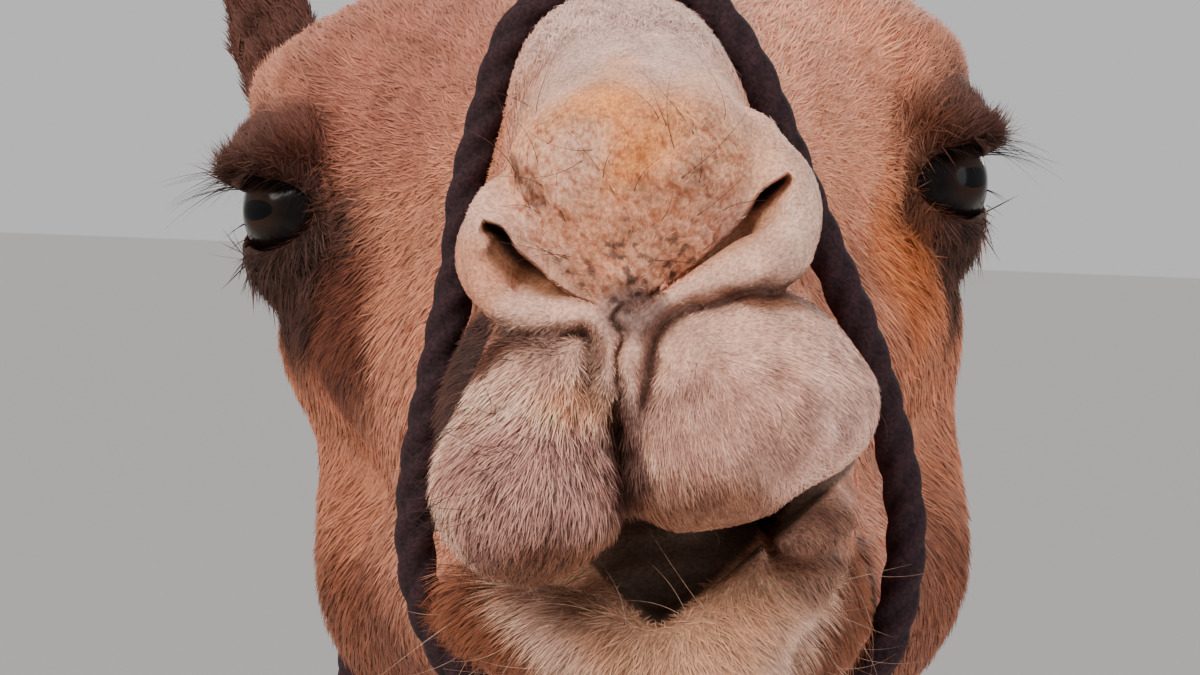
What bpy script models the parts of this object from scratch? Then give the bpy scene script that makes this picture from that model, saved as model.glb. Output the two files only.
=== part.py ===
"""A life-size dromedary camel that stands with its head held high and looks straight ahead.

It chews, so its lower jaw is drawn to one side and its split upper lip is twisted. It wears a rope halter.
The animal faces -Y, +X is its left side and +Z is up. All sizes are in metres.
"""

import math

import bmesh
import bpy
from mathutils import Matrix, Vector

# ---------------------------------------------------------------- driving sizes
CUT = 0.0006  # width of the thin cuts that part the body
CLEARANCE = 0.0004  # room between an eye or a rope and the flesh around it
BODY_VOXEL = 0.011
HEAD_VOXEL = 0.0025
CUTTER_VOXEL = 0.0012
BODY_TRIANGLES = 2300
HEAD_TRIANGLES = 2450

NOSE = Vector((0.0, -1.60, 2.15))  # between the nostrils
HEAD_ROLL = math.radians(4.8)  # the left side of the head is held a little higher
EYE_RADIUS = 0.0195
EYE_CENTRE = Vector((0.0925, 0.300, 0.016))  # in the head's own frame, left eye
ROPE_RADIUS = 0.0052
HUMP_CUT_HEIGHT = 1.835
FORELEG_CUT_HEIGHT = 0.985
HINDLEG_CUT_HEIGHT = 1.185
FOOT_CUT_HEIGHT = 0.150

COAT = {"colour": (0.56, 0.36, 0.22, 1), "roughness": 0.9}
FOOT_COAT = {"colour": (0.50, 0.34, 0.23, 1), "roughness": 0.85}
PALE_COAT = {"colour": (0.66, 0.47, 0.34, 1), "roughness": 0.9}
EYE_FINISH = {"colour": (0.012, 0.008, 0.006, 1), "roughness": 0.08}
ROPE_FINISH = {"colour": (0.035, 0.022, 0.028, 1), "roughness": 0.85}

for stale in list(bpy.data.objects):
    bpy.data.objects.remove(stale, do_unlink=True)


# ---------------------------------------------------------------- modelling helpers
def finish(name, look):
    material = bpy.data.materials.get(name) or bpy.data.materials.new(name)
    material.use_nodes = True
    shader = material.node_tree.nodes["Principled BSDF"]
    shader.inputs["Base Color"].default_value = look["colour"]
    shader.inputs["Roughness"].default_value = look["roughness"]
    shader.inputs["Metallic"].default_value = 0.0
    return material


def placed(name, mesh, material=None):
    """A new object in the scene that holds the mesh."""
    obj = bpy.data.objects.new(name, mesh)
    bpy.context.scene.collection.objects.link(obj)
    if material:
        mesh.materials.clear()
        mesh.materials.append(material)
    return obj


def mesh_of(bm, name):
    bmesh.ops.recalc_face_normals(bm, faces=bm.faces)
    mesh = bpy.data.meshes.new(name)
    bm.to_mesh(mesh)
    bm.free()
    return mesh


def between(rows, steps):
    """Rows of numbers made denser along a smooth curve that passes through each of them."""
    dense = []
    last = len(rows) - 1
    for i in range(last):
        before, start, end, after = (rows[max(i - 1, 0)], rows[i], rows[i + 1], rows[min(i + 2, last)])
        for step in range(steps):
            t = step / steps
            dense.append(
                [
                    0.5 * (2 * b + (c - a) * t + (2 * a - 5 * b + 4 * c - d) * t**2 + (3 * b - a - 3 * c + d) * t**3)
                    for a, b, c, d in zip(before, start, end, after)
                ]
            )
    dense.append(list(rows[last]))
    return dense


def add_loft(bm, sections, sides=28, steps=4, square=2.2, place=None):
    """A closed tube through sections (x, y, z, half width, half depth, egg) whose path lies in an upright plane.

    Each ring is a rounded box across the path. Egg above 0 makes the dorsal side the narrower one.
    """
    rows = between(sections, steps)
    place = place or Matrix.Identity(4)
    rings = []
    for i, (x, y, z, half_width, half_depth, egg) in enumerate(rows):
        ahead, behind = rows[min(i + 1, len(rows) - 1)], rows[max(i - 1, 0)]
        along = Vector((0, ahead[1] - behind[1], ahead[2] - behind[2])).normalized()
        dorsal = along.cross(Vector((1, 0, 0)))
        ring = []
        for side in range(sides):
            angle = 2 * math.pi * side / sides
            across, up = math.cos(angle), math.sin(angle)
            across = math.copysign(abs(across) ** (2 / square), across)
            up = math.copysign(abs(up) ** (2 / square), up)
            point = Vector((x + half_width * across * (1 - egg * up), y, z)) + dorsal * (half_depth * up)
            ring.append(bm.verts.new(place @ point))
        rings.append(ring)
    for first, second in zip(rings, rings[1:]):
        for side in range(sides):
            after = (side + 1) % sides
            bm.faces.new((first[side], first[after], second[after], second[side]))
    bm.faces.new(rings[0][::-1])
    bm.faces.new(rings[-1])


def add_mass(bm, centre, radii, tilt=(0, 0, 0), place=None, detail=3):
    """An ellipsoid of flesh. Tilt is in degrees about X, Y and Z."""
    turn = Matrix.Identity(4)
    for axis, degrees in zip("XYZ", tilt):
        turn = Matrix.Rotation(math.radians(degrees), 4, axis) @ turn
    shape = (place or Matrix.Identity(4)) @ Matrix.Translation(centre) @ turn @ Matrix.Diagonal((*radii, 1))
    bmesh.ops.create_icosphere(bm, subdivisions=detail, radius=1.0, matrix=shape)


def add_pair(bm, centre, radii, tilt=(0, 0, 0), place=None):
    """The same mass on the left and on the right."""
    x, y, z = centre
    for side in (1, -1):
        add_mass(bm, (side * x, y, z), radii, (tilt[0], side * tilt[1], side * tilt[2]), place)


def add_roll(bm, rows, place=None):
    """A bent roll of flesh through rows (x, y, z, radius), as a chain of balls close enough to melt into one."""
    for x, y, z, radius in between(rows, 4):
        shape = (place or Matrix.Identity(4)) @ Matrix.Translation((x, y, z))
        bmesh.ops.create_icosphere(bm, subdivisions=2, radius=radius, matrix=shape)


def evaluated(obj):
    """The mesh that the object's modifiers make. The object itself is removed."""
    bpy.context.view_layer.update()
    graph = bpy.context.evaluated_depsgraph_get()
    mesh = bpy.data.meshes.new_from_object(obj.evaluated_get(graph))
    bpy.data.objects.remove(obj, do_unlink=True)
    return mesh


def melted(bm, voxel, smoothing, name):
    """One smooth skin over all the shells in bm."""
    obj = placed(name, mesh_of(bm, name))
    melt = obj.modifiers.new("melt", "REMESH")
    melt.mode, melt.voxel_size = "VOXEL", voxel
    soft = obj.modifiers.new("soften", "SMOOTH")
    soft.factor, soft.iterations = 0.5, smoothing
    return evaluated(obj)


def thinned(mesh, triangles, name):
    obj = placed(name, mesh)
    mesh.calc_loop_triangles()
    fewer = obj.modifiers.new("fewer faces", "DECIMATE")
    fewer.ratio = triangles / len(mesh.loop_triangles)
    fewer.use_collapse_triangulate = True
    return evaluated(obj)


def cut_away(mesh, cutter_mesh, name):
    """The mesh less the cutter's shells."""
    obj = placed(name, mesh)
    cutter = placed(name + "_cutter", cutter_mesh)
    cut = obj.modifiers.new("cut", "BOOLEAN")
    cut.operation, cut.object, cut.use_self = "DIFFERENCE", cutter, True
    result = evaluated(obj)
    bpy.data.objects.remove(cutter, do_unlink=True)
    return result


def add_slab(bm, centre, half_sizes, lean_degrees=0.0, place=None):
    """A box, leant about X."""
    shape = (
        (place or Matrix.Identity(4))
        @ Matrix.Translation(centre)
        @ Matrix.Rotation(math.radians(lean_degrees), 4, "X")
        @ Matrix.Diagonal((2 * half_sizes[0], 2 * half_sizes[1], 2 * half_sizes[2], 1))
    )
    bmesh.ops.create_cube(bm, size=1.0, matrix=shape)


def loose_parts(mesh):
    """The separate bodies of a mesh, each as a mesh of its own, with the middle of its box."""
    bm = bmesh.new()
    bm.from_mesh(mesh)
    bm.verts.ensure_lookup_table()
    group_of = {}
    groups = []
    for seed in bm.verts:
        if seed.index in group_of:
            continue
        reached, waiting = {seed.index}, [seed]
        while waiting:
            vertex = waiting.pop()
            for edge in vertex.link_edges:
                other = edge.other_vert(vertex)
                if other.index not in reached:
                    reached.add(other.index)
                    waiting.append(other)
        for index in reached:
            group_of[index] = len(groups)
        groups.append(reached)
    parts = []
    for group in groups:
        piece = bm.copy()
        piece.verts.ensure_lookup_table()
        strays = [v for v in piece.verts if v.index not in group]
        bmesh.ops.delete(piece, geom=strays, context="VERTS")
        lows = Vector(min(v.co[i] for v in piece.verts) for i in range(3))
        highs = Vector(max(v.co[i] for v in piece.verts) for i in range(3))
        part = bpy.data.meshes.new("part")
        piece.to_mesh(part)
        piece.free()
        parts.append(((lows + highs) / 2, highs - lows, part))
    bm.free()
    return parts


# ---------------------------------------------------------------- trunk, hump, neck and tail
# y, back line, belly line, half width, egg: from the rump forward to the breast
TRUNK = (
    (0.86, 1.50, 1.40, 0.050, 0.0),
    (0.79, 1.60, 1.34, 0.110, 0.0),
    (0.66, 1.675, 1.28, 0.175, 0.0),
    (0.46, 1.705, 1.235, 0.225, 0.05),
    (0.22, 1.735, 1.145, 0.290, 0.10),
    (-0.04, 1.765, 1.060, 0.320, 0.12),
    (-0.26, 1.785, 1.020, 0.290, 0.12),
    (-0.44, 1.745, 1.035, 0.230, 0.10),
    (-0.56, 1.67, 1.110, 0.170, 0.05),
    (-0.64, 1.58, 1.200, 0.110, 0.0),
)
# z, middle y, half width, half length: from the loins up to the tip of the hump
HUMP = (
    (1.60, 0.10, 0.250, 0.440),
    (1.74, 0.09, 0.215, 0.375),
    (1.86, 0.08, 0.168, 0.292),
    (1.96, 0.075, 0.126, 0.215),
    (2.035, 0.07, 0.082, 0.145),
    (2.078, 0.07, 0.036, 0.070),
)
# y, z, half width, half depth, egg: from inside the shoulders up to the poll
NECK = (
    (-0.34, 1.54, 0.150, 0.240, 0.10),
    (-0.56, 1.455, 0.145, 0.235, 0.10),
    (-0.75, 1.385, 0.120, 0.200, 0.08),
    (-0.93, 1.405, 0.104, 0.168, 0.05),
    (-1.065, 1.525, 0.094, 0.142, 0.0),
    (-1.145, 1.70, 0.088, 0.125, -0.05),
    (-1.175, 1.88, 0.085, 0.114, -0.05),
    (-1.176, 2.02, 0.082, 0.101, 0.0),
    (-1.172, 2.12, 0.072, 0.083, 0.0),
    (-1.176, 2.19, 0.050, 0.048, 0.0),
)
HIGH_NECK = 6  # from this section up, the neck is melted together with the head
# y, z, half width and depth: the tail, with its tuft of long hair
TAIL = (
    (0.80, 1.55, 0.052, 0.045),
    (0.875, 1.500, 0.042, 0.036),
    (0.925, 1.40, 0.032, 0.028),
    (0.945, 1.26, 0.024, 0.021),
    (0.945, 1.13, 0.023, 0.020),
    (0.940, 1.02, 0.033, 0.028),
    (0.935, 0.92, 0.030, 0.026),
    (0.930, 0.84, 0.014, 0.012),
)


def neck_sections(first=0):
    return [(0.0, y, z, half_width, half_depth, egg) for y, z, half_width, half_depth, egg in NECK[first:]]


def add_trunk(bm):
    sections = [
        (0.0, y, (back + belly) / 2, half_width, (back - belly) / 2, egg)
        for y, back, belly, half_width, egg in TRUNK
    ]
    add_loft(bm, sections, sides=36, square=2.25)
    add_loft(bm, [(0.0, y, z, half_width, half_length, 0.0) for z, y, half_width, half_length in HUMP])
    add_loft(bm, neck_sections())
    add_mass(bm, (0, -0.38, 1.675), (0.120, 0.30, 0.100), (12, 0, 0))  # withers
    add_mass(bm, (0, -0.47, 1.20), (0.135, 0.15, 0.180))  # breast
    add_mass(bm, (0, -0.27, 1.055), (0.085, 0.115, 0.060))  # callous pad under the breastbone
    add_pair(bm, (0.130, -0.43, 1.42), (0.108, 0.170, 0.240), (14, 10, 0))  # shoulder blade
    add_pair(bm, (0.098, 0.58, 1.535), (0.108, 0.225, 0.130), (-8, 0, 0))  # hip
    add_pair(bm, (0.080, 0.755, 1.475), (0.078, 0.105, 0.130))  # pin bone


# ---------------------------------------------------------------- legs
# x, y, z, half width, half depth: from the shoulder or the hip down to the sole
FORELEG = (
    (0.135, -0.455, 1.42, 0.060, 0.100),
    (0.164, -0.418, 1.27, 0.086, 0.136),
    (0.174, -0.382, 1.11, 0.076, 0.114),
    (0.172, -0.372, 0.95, 0.062, 0.086),
    (0.166, -0.378, 0.78, 0.054, 0.066),
    (0.160, -0.388, 0.655, 0.058, 0.064),
    (0.157, -0.392, 0.565, 0.063, 0.068),
    (0.155, -0.385, 0.475, 0.049, 0.052),
    (0.153, -0.378, 0.33, 0.042, 0.044),
    (0.151, -0.376, 0.20, 0.046, 0.050),
    (0.150, -0.382, 0.135, 0.050, 0.054),
    (0.150, -0.395, 0.085, 0.062, 0.066),
)
HINDLEG = (
    (0.115, 0.630, 1.56, 0.090, 0.165),
    (0.150, 0.600, 1.42, 0.105, 0.205),
    (0.170, 0.560, 1.27, 0.092, 0.180),
    (0.168, 0.545, 1.13, 0.074, 0.128),
    (0.160, 0.590, 0.98, 0.060, 0.094),
    (0.154, 0.655, 0.82, 0.050, 0.072),
    (0.150, 0.700, 0.70, 0.052, 0.068),
    (0.148, 0.712, 0.625, 0.055, 0.070),
    (0.146, 0.700, 0.53, 0.046, 0.054),
    (0.144, 0.678, 0.36, 0.039, 0.043),
    (0.142, 0.658, 0.21, 0.042, 0.047),
    (0.141, 0.648, 0.135, 0.046, 0.051),
    (0.141, 0.636, 0.085, 0.057, 0.062),
)
# foot: half width, half length, how far its middle lies ahead of the shank, height of its broadest ring
FOREFOOT = (0.098, 0.112, 0.028, 0.030)
HINDFOOT = (0.086, 0.102, 0.026, 0.028)
# side of the body, leg, foot, and how far the foot is set forward (-) or back (+) of a square stance
LEGS = {
    "foreleg_left": (1, FORELEG, FOREFOOT, -0.045),
    "foreleg_right": (-1, FORELEG, FOREFOOT, 0.035),
    "hindleg_left": (1, HINDLEG, HINDFOOT, 0.050),
    "hindleg_right": (-1, HINDLEG, HINDFOOT, -0.055),
}
STRIDE_HEIGHT = 1.30  # a leg swings about this height
TOE_GAP_HALF_ANGLE = 0.16


def stride(y, z, step):
    return y + step * max(0.0, 1.0 - z / STRIDE_HEIGHT)


def add_foot(bm, side, leg, foot, step):
    """A broad flat pad with two toes, cleft in front."""
    half_width, half_length, ahead, broad_height = foot
    x, y, z = side * leg[-1][0], stride(leg[-1][1], 0.0, step) - ahead, 0.0
    rings = []
    sides = 32
    levels = ((0.0, 0.93), (0.008, 0.985), (broad_height, 1.0), (0.055, 0.90), (0.080, 0.70), (0.100, 0.50))
    for height, scale in levels:
        ring = []
        for i in range(sides):
            angle = 2 * math.pi * i / sides
            off_front = abs((angle - 1.5 * math.pi + math.pi) % (2 * math.pi) - math.pi)
            cleft = 1.0 - 0.16 * math.exp(-((off_front / TOE_GAP_HALF_ANGLE) ** 2)) * (1 - height / 0.11)
            across = half_width * scale * math.cos(angle) * cleft
            length = half_length * scale * math.sin(angle) * cleft
            back = 0.35 * height  # the upper rings lean back towards the shank
            ring.append(bm.verts.new((x + across, y + length + back, z + height)))
        rings.append(ring)
    for first, second in zip(rings, rings[1:]):
        for i in range(sides):
            after = (i + 1) % sides
            bm.faces.new((first[i], first[after], second[after], second[i]))
    bm.faces.new(rings[0][::-1])
    bm.faces.new(rings[-1])


def add_legs(bm):
    for side, leg, foot, step in LEGS.values():
        sections = [
            (side * x, stride(y, z, step), z, half_width, half_depth, 0.0)
            for x, y, z, half_width, half_depth in leg
        ]
        add_loft(bm, sections, sides=24, square=2.1)
        add_foot(bm, side, leg, foot, step)


def flatten_soles(mesh):
    """Each sole ends in one flat face at floor level."""
    bm = bmesh.new()
    bm.from_mesh(mesh)
    sole_height = 0.006
    everything = bm.verts[:] + bm.edges[:] + bm.faces[:]
    cut = bmesh.ops.bisect_plane(
        bm, geom=everything, plane_co=(0, 0, sole_height), plane_no=(0, 0, -1), clear_outer=True
    )
    rims = [part for part in cut["geom_cut"] if isinstance(part, bmesh.types.BMEdge)]
    bmesh.ops.triangle_fill(bm, edges=rims, use_beauty=True, normal=(0, 0, -1))
    bmesh.ops.translate(bm, verts=bm.verts, vec=(0, 0, -sole_height))
    return mesh_of(bm, "body")


# ---------------------------------------------------------------- head, in its own frame
# The nose is the head's origin, y runs back to the poll and z up. HEAD places it on the neck.
HEAD = Matrix.Translation(NOSE) @ Matrix.Rotation(-HEAD_ROLL, 4, "Y")
# y, top, bottom, half width, egg: upper jaw, face, forehead and crown
SKULL = (
    (0.480, 0.030, -0.040, 0.040, 0.0),
    (0.455, 0.065, -0.070, 0.062, 0.0),
    (0.415, 0.088, -0.085, 0.080, 0.0),
    (0.365, 0.099, -0.090, 0.094, 0.02),
    (0.315, 0.098, -0.090, 0.096, 0.06),
    (0.265, 0.088, -0.090, 0.083, 0.16),
    (0.205, 0.070, -0.090, 0.062, 0.26),
    (0.150, 0.050, -0.085, 0.053, 0.20),
    (0.100, 0.036, -0.080, 0.049, 0.15),
    (0.055, 0.024, -0.070, 0.045, 0.10),
    (0.022, 0.012, -0.055, 0.036, 0.05),
    (0.008, 0.002, -0.040, 0.026, 0.0),
)
# y, top, bottom, half width, middle x: the narrow bridge of the nose
BRIDGE = (
    (0.300, 0.092, 0.010, 0.056, 0.000),
    (0.210, 0.080, -0.010, 0.042, 0.002),
    (0.130, 0.0705, -0.020, 0.0335, 0.004),
    (0.090, 0.064, -0.020, 0.0320, 0.004),
    (0.052, 0.051, -0.020, 0.0320, 0.003),
    (0.024, 0.035, -0.015, 0.0285, 0.002),
    (0.010, 0.018, -0.010, 0.0200, 0.001),
)
# y, top, bottom, half width, middle x: the lower jaw from its angle to the chin
JAW = (
    (0.425, -0.010, -0.120, 0.070, 0.0),
    (0.385, -0.020, -0.152, 0.092, 0.0),
    (0.335, -0.030, -0.157, 0.100, 0.0),
    (0.280, -0.040, -0.146, 0.090, 0.001),
    (0.215, -0.050, -0.132, 0.073, 0.003),
    (0.150, -0.060, -0.127, 0.060, 0.006),
    (0.090, -0.070, -0.126, 0.049, 0.008),
    (0.045, -0.084, -0.124, 0.040, 0.010),
    (0.022, -0.092, -0.118, 0.028, 0.011),
)
# middle, radii, tilt: masses of soft tissue on the muzzle, which the chewing jaw twists
MUZZLE_MASSES = (
    ((-0.0262, 0.016, -0.0570), (0.0240, 0.030, 0.0235), (0, -8, 0)),  # right half of the upper lip
    ((-0.0205, 0.020, -0.0325), (0.0185, 0.022, 0.0175), (0, 0, 0)),
    ((0.0290, 0.017, -0.0475), (0.0300, 0.033, 0.0260), (0, 14, 0)),  # left half of the upper lip
    ((0.0265, 0.019, -0.0265), (0.0240, 0.024, 0.0160), (0, 0, 0)),
    ((-0.0015, 0.018, -0.0410), (0.0150, 0.017, 0.0240), (0, 4, 0)),  # where the two halves meet
    ((-0.0330, 0.036, 0.0010), (0.0120, 0.026, 0.0170), (0, 0, 0)),  # side wall of the right nostril
    ((0.0390, 0.038, 0.0070), (0.0130, 0.026, 0.0180), (0, 0, 0)),  # side wall of the left nostril
    ((0.0020, 0.034, 0.0210), (0.0300, 0.030, 0.0215), (0, -4, 0)),  # plate between the nostrils
    ((0.0005, 0.020, 0.0035), (0.0215, 0.018, 0.0135), (0, -4, 0)),
    ((-0.0010, 0.012, -0.0075), (0.0105, 0.011, 0.0075), (0, 0, 0)),
    ((0.0075, 0.047, -0.1080), (0.0270, 0.036, 0.0190), (0, 0, 0)),  # chin
    ((-0.0400, 0.075, -0.0560), (0.0125, 0.050, 0.0340), (0, 0, 0)),  # right cheek pouch
    ((0.0460, 0.075, -0.0520), (0.0140, 0.050, 0.0350), (0, 0, 0)),  # left cheek pouch
)
# x, y, z, radius: rolls from the outer corner of each nostril, under it and down beside the cleft of the lip
MUZZLE_ROLLS = (
    (
        (-0.0270, 0.034, 0.0190, 0.0095),
        (-0.0350, 0.026, 0.0125, 0.0068),
        (-0.0372, 0.018, 0.0010, 0.0064),
        (-0.0330, 0.011, -0.0095, 0.0066),
        (-0.0240, 0.006, -0.0152, 0.0058),
        (-0.0130, 0.003, -0.0178, 0.0048),
        (-0.0065, 0.001, -0.0240, 0.0038),
        (-0.0060, -0.003, -0.0360, 0.0032),
    ),
    (
        (0.0310, 0.034, 0.0235, 0.0100),
        (0.0405, 0.027, 0.0185, 0.0074),
        (0.0432, 0.019, 0.0065, 0.0074),
        (0.0385, 0.012, -0.0030, 0.0070),
        (0.0290, 0.006, -0.0085, 0.0060),
        (0.0180, 0.003, -0.0128, 0.0052),
        (0.0080, 0.001, -0.0185, 0.0044),
        (0.0025, -0.001, -0.0270, 0.0036),
        (0.0000, -0.003, -0.0380, 0.0032),
    ),
    (  # lower lip
        (-0.0430, 0.062, -0.0850, 0.0110),
        (-0.0370, 0.047, -0.0925, 0.0120),
        (-0.0210, 0.034, -0.0965, 0.0122),
        (0.0030, 0.028, -0.1040, 0.0118),
        (0.0220, 0.030, -0.0980, 0.0120),
        (0.0390, 0.039, -0.0845, 0.0118),
        (0.0500, 0.056, -0.0700, 0.0110),
    ),
)
# x, z, radius: the nostrils, slits that run inwards and down, seen from the front, and how deep they go
NOSTRILS = (
    ((-0.0325, 0.0062, 0.0042), (-0.0275, -0.0010, 0.0036), (-0.0210, -0.0068, 0.0030), (-0.0135, -0.0112, 0.0022)),
    ((0.0385, 0.0135, 0.0044), (0.0310, 0.0070, 0.0038), (0.0215, 0.0000, 0.0031), (0.0115, -0.0078, 0.0022)),
)
NOSTRIL_REACH = (-0.012, -0.002, 0.008, 0.018, 0.027)
NOSTRIL_INTURN = 0.35  # the passages close in on the middle by this share at their inner ends
MOUTH_CUTS = (
    ((0.0050, 0.014, -0.0830), (0.0150, 0.030, 0.0080), (0, -6, 0)),
    ((0.0270, 0.018, -0.0790), (0.0190, 0.030, 0.0042), (0, -30, 0)),
)
# opening between the lids: middle off the eye's centre, then radii
LID_TURN = 45  # degrees that the opening faces forward of sideways
LID_CUT = ((0.0135, -0.0135, -0.0005), (0.0115, 0.0155, 0.0092))


def add_head(bm):
    add_loft(
        bm,
        [(0.0, y, (top + low) / 2, half, (top - low) / 2, egg) for y, top, low, half, egg in SKULL],
        sides=32,
        square=2.3,
    )
    add_loft(
        bm,
        [(x, y, (top + low) / 2, half, (top - low) / 2, -0.10) for y, top, low, half, x in JAW],
        sides=28,
        square=2.3,
    )
    add_loft(
        bm,
        [(x, y, (top + low) / 2, half, (top - low) / 2, 0.0) for y, top, low, half, x in BRIDGE],
        sides=24,
        square=2.4,
    )
    for centre, radii, tilt in MUZZLE_MASSES:
        add_mass(bm, centre, radii, tilt)
    for rows in MUZZLE_ROLLS:
        add_roll(bm, rows)
    add_pair(bm, (0.066, 0.330, 0.054), (0.046, 0.062, 0.030), (0, 10, 0))  # brow over the socket
    add_pair(bm, (0.096, 0.304, 0.0345), (0.023, 0.036, 0.013), (0, 14, 0))  # upper lid
    add_pair(bm, (0.0885, 0.305, 0.004), (0.0245, 0.032, 0.019))  # lower lid
    add_pair(bm, (0.072, 0.310, -0.028), (0.030, 0.075, 0.030), (0, 0, -10))  # cheekbone
    add_pair(bm, (0.078, 0.362, -0.080), (0.027, 0.066, 0.072))  # masseter
    add_pair(bm, (0.056, 0.225, -0.040), (0.018, 0.080, 0.036), (0, 0, -12))  # facial crest
    add_pair(bm, (0.070, 0.410, 0.024), (0.026, 0.042, 0.036))  # root of the ear
    add_loft(bm, neck_sections(HIGH_NECK), place=HEAD.inverted())


def head_cutters():
    """Nostrils and the open corner of the mouth."""
    bm = bmesh.new()
    for slit in NOSTRILS:
        for y in NOSTRIL_REACH:
            inward = 1.0 - NOSTRIL_INTURN * max(0.0, y) / NOSTRIL_REACH[-1]
            add_roll(bm, [(x * inward, y, z, radius) for x, z, radius in slit])
    for centre, radii, tilt in MOUTH_CUTS:
        add_mass(bm, centre, radii, tilt)
    return melted(bm, CUTTER_VOXEL, 1, "cutters")


def eye_cutters():
    """The sockets that hold the eyes, and the openings between the lids."""
    bm = bmesh.new()
    offset, radii = LID_CUT
    for side in (1, -1):
        centre = Vector((side * EYE_CENTRE.x, EYE_CENTRE.y, EYE_CENTRE.z))
        bmesh.ops.create_uvsphere(
            bm,
            u_segments=14,
            v_segments=9,
            radius=EYE_RADIUS + CLEARANCE,
            matrix=HEAD @ Matrix.Translation(centre),
        )
        opening = centre + Vector((side * offset[0], offset[1], offset[2]))
        add_mass(bm, opening, radii, (0, 0, -side * LID_TURN), HEAD, detail=2)
    return mesh_of(bm, "eye_cutters")


# ---------------------------------------------------------------- ears
# side, place of the root, lean out (degrees), lean back, turn about its own length
EARS = {
    "ear_left": (1, (0.078, 0.438, 0.044), 16, 74, 30),
    "ear_right": (-1, (-0.098, 0.428, 0.030), 20, 10, 50),
}
EAR_LENGTH, EAR_HALF_WIDTH, EAR_THICKNESS, EAR_CUP = 0.105, 0.027, 0.007, 9.0


def ear_mesh(side, root, lean_out, lean_back, turn, grow=0.0):
    """A rounded leaf, cupped round its length, open forwards. Grow makes it larger on every face."""
    bm = bmesh.new()
    rings, sides = 7, 10
    loops = []
    for i in range(rings):
        t = i / (rings - 1)
        half = grow + EAR_HALF_WIDTH * math.sin(math.pi * (0.17 + 0.76 * t)) ** 0.6
        thick = 2 * grow + EAR_THICKNESS * (1.25 - 0.75 * t)
        height = t * EAR_LENGTH + (2 * t - 1) * grow
        loop = []
        for k in range(sides):
            angle = 2 * math.pi * k / sides
            across = half * math.cos(angle)
            bowl = -EAR_CUP * across * across
            loop.append(bm.verts.new((across, bowl + 0.5 * thick * math.sin(angle), height)))
        loops.append(loop)
    for first, second in zip(loops, loops[1:]):
        for k in range(sides):
            after = (k + 1) % sides
            bm.faces.new((first[k], first[after], second[after], second[k]))
    bm.faces.new(loops[0][::-1])
    bm.faces.new(loops[-1])
    place = (
        HEAD
        @ Matrix.Translation(root)
        @ Matrix.Rotation(math.radians(side * lean_out), 4, "Y")
        @ Matrix.Rotation(math.radians(-lean_back), 4, "X")
        @ Matrix.Rotation(math.radians(side * turn), 4, "Z")
    )
    bmesh.ops.transform(bm, matrix=place, verts=bm.verts)
    return mesh_of(bm, "ear")


def ear_cutters():
    bm = bmesh.new()
    for pose in EARS.values():
        bm.from_mesh(ear_mesh(*pose, grow=CLEARANCE))
    return mesh_of(bm, "ear_cutters")


# ---------------------------------------------------------------- halter ropes, in the head's frame
NOSEBAND = (
    (0.0040, 0.128, 0.0725),
    (0.0210, 0.128, 0.0680),
    (0.0345, 0.128, 0.0490),
    (0.0425, 0.129, 0.0280),
    (0.0520, 0.130, 0.0010),
    (0.0630, 0.131, -0.0290),
    (0.0710, 0.133, -0.0640),
    (0.0715, 0.135, -0.0900),
    (0.0610, 0.137, -0.1200),
    (0.0350, 0.138, -0.1345),
    (0.0060, 0.139, -0.1370),
    (-0.0260, 0.138, -0.1330),
    (-0.0500, 0.137, -0.1160),
    (-0.0612, 0.135, -0.0900),
    (-0.0605, 0.133, -0.0620),
    (-0.0545, 0.131, -0.0360),
    (-0.0470, 0.130, -0.0070),
    (-0.0380, 0.129, 0.0230),
    (-0.0290, 0.128, 0.0500),
    (-0.0140, 0.128, 0.0680),
)
HEADSTALL = (
    (0.0060, 0.1500, -0.1365),
    (0.0150, 0.1580, -0.1375),
    (0.0230, 0.1950, -0.1390),
    (0.0400, 0.285, -0.1560),
    (0.0620, 0.350, -0.1660),
    (0.0800, 0.405, -0.1350),
    (0.0850, 0.436, -0.0720),
    (0.0830, 0.456, -0.0080),
    (0.0600, 0.466, 0.0400),
    (0.0000, 0.472, 0.0660),
)
CHIN_X, BEHIND_CHIN = 0.006, 0.25  # the chin is drawn aside, so the rope is even about this line there
KNOT_CENTRE, KNOT_RADII = (CHIN_X, 0.1455, -0.1365), (0.015, 0.018, 0.0125)
ROPES = ("halter_noseband", "halter_headstall")


def rope_route(name):
    if name == "halter_noseband":
        rows = list(NOSEBAND)
    else:
        mirrored = [(2 * CHIN_X - x if y < BEHIND_CHIN else -x, y, z) for x, y, z in HEADSTALL[-2:0:-1]]
        rows = [*HEADSTALL, *mirrored]
    closed = [*rows[-2:], *rows, *rows[:3]]
    steps = 2
    return [HEAD @ Vector(p) for p in between(closed, steps)[2 * steps : -2 * steps - 1]]


def rope_mesh(name, radius):
    """A closed ring of rope."""
    curve = bpy.data.curves.new(name, "CURVE")
    curve.dimensions = "3D"
    curve.bevel_depth, curve.bevel_resolution = radius, 1
    spline = curve.splines.new("POLY")
    route = rope_route(name)
    spline.points.add(len(route) - 1)
    for point, place in zip(spline.points, route):
        point.co = (*place, 1)
    spline.use_cyclic_u = True
    obj = bpy.data.objects.new(name, curve)
    bpy.context.scene.collection.objects.link(obj)
    return evaluated(obj)


def rope_cutters(with_knot=True, clearance=CLEARANCE):
    bm = bmesh.new()
    for name in ROPES:
        bm.from_mesh(rope_mesh(name, ROPE_RADIUS + clearance))
    if with_knot:
        add_mass(bm, KNOT_CENTRE, [r + CLEARANCE for r in KNOT_RADII], place=HEAD, detail=2)
    return mesh_of(bm, "rope_cutters")


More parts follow.
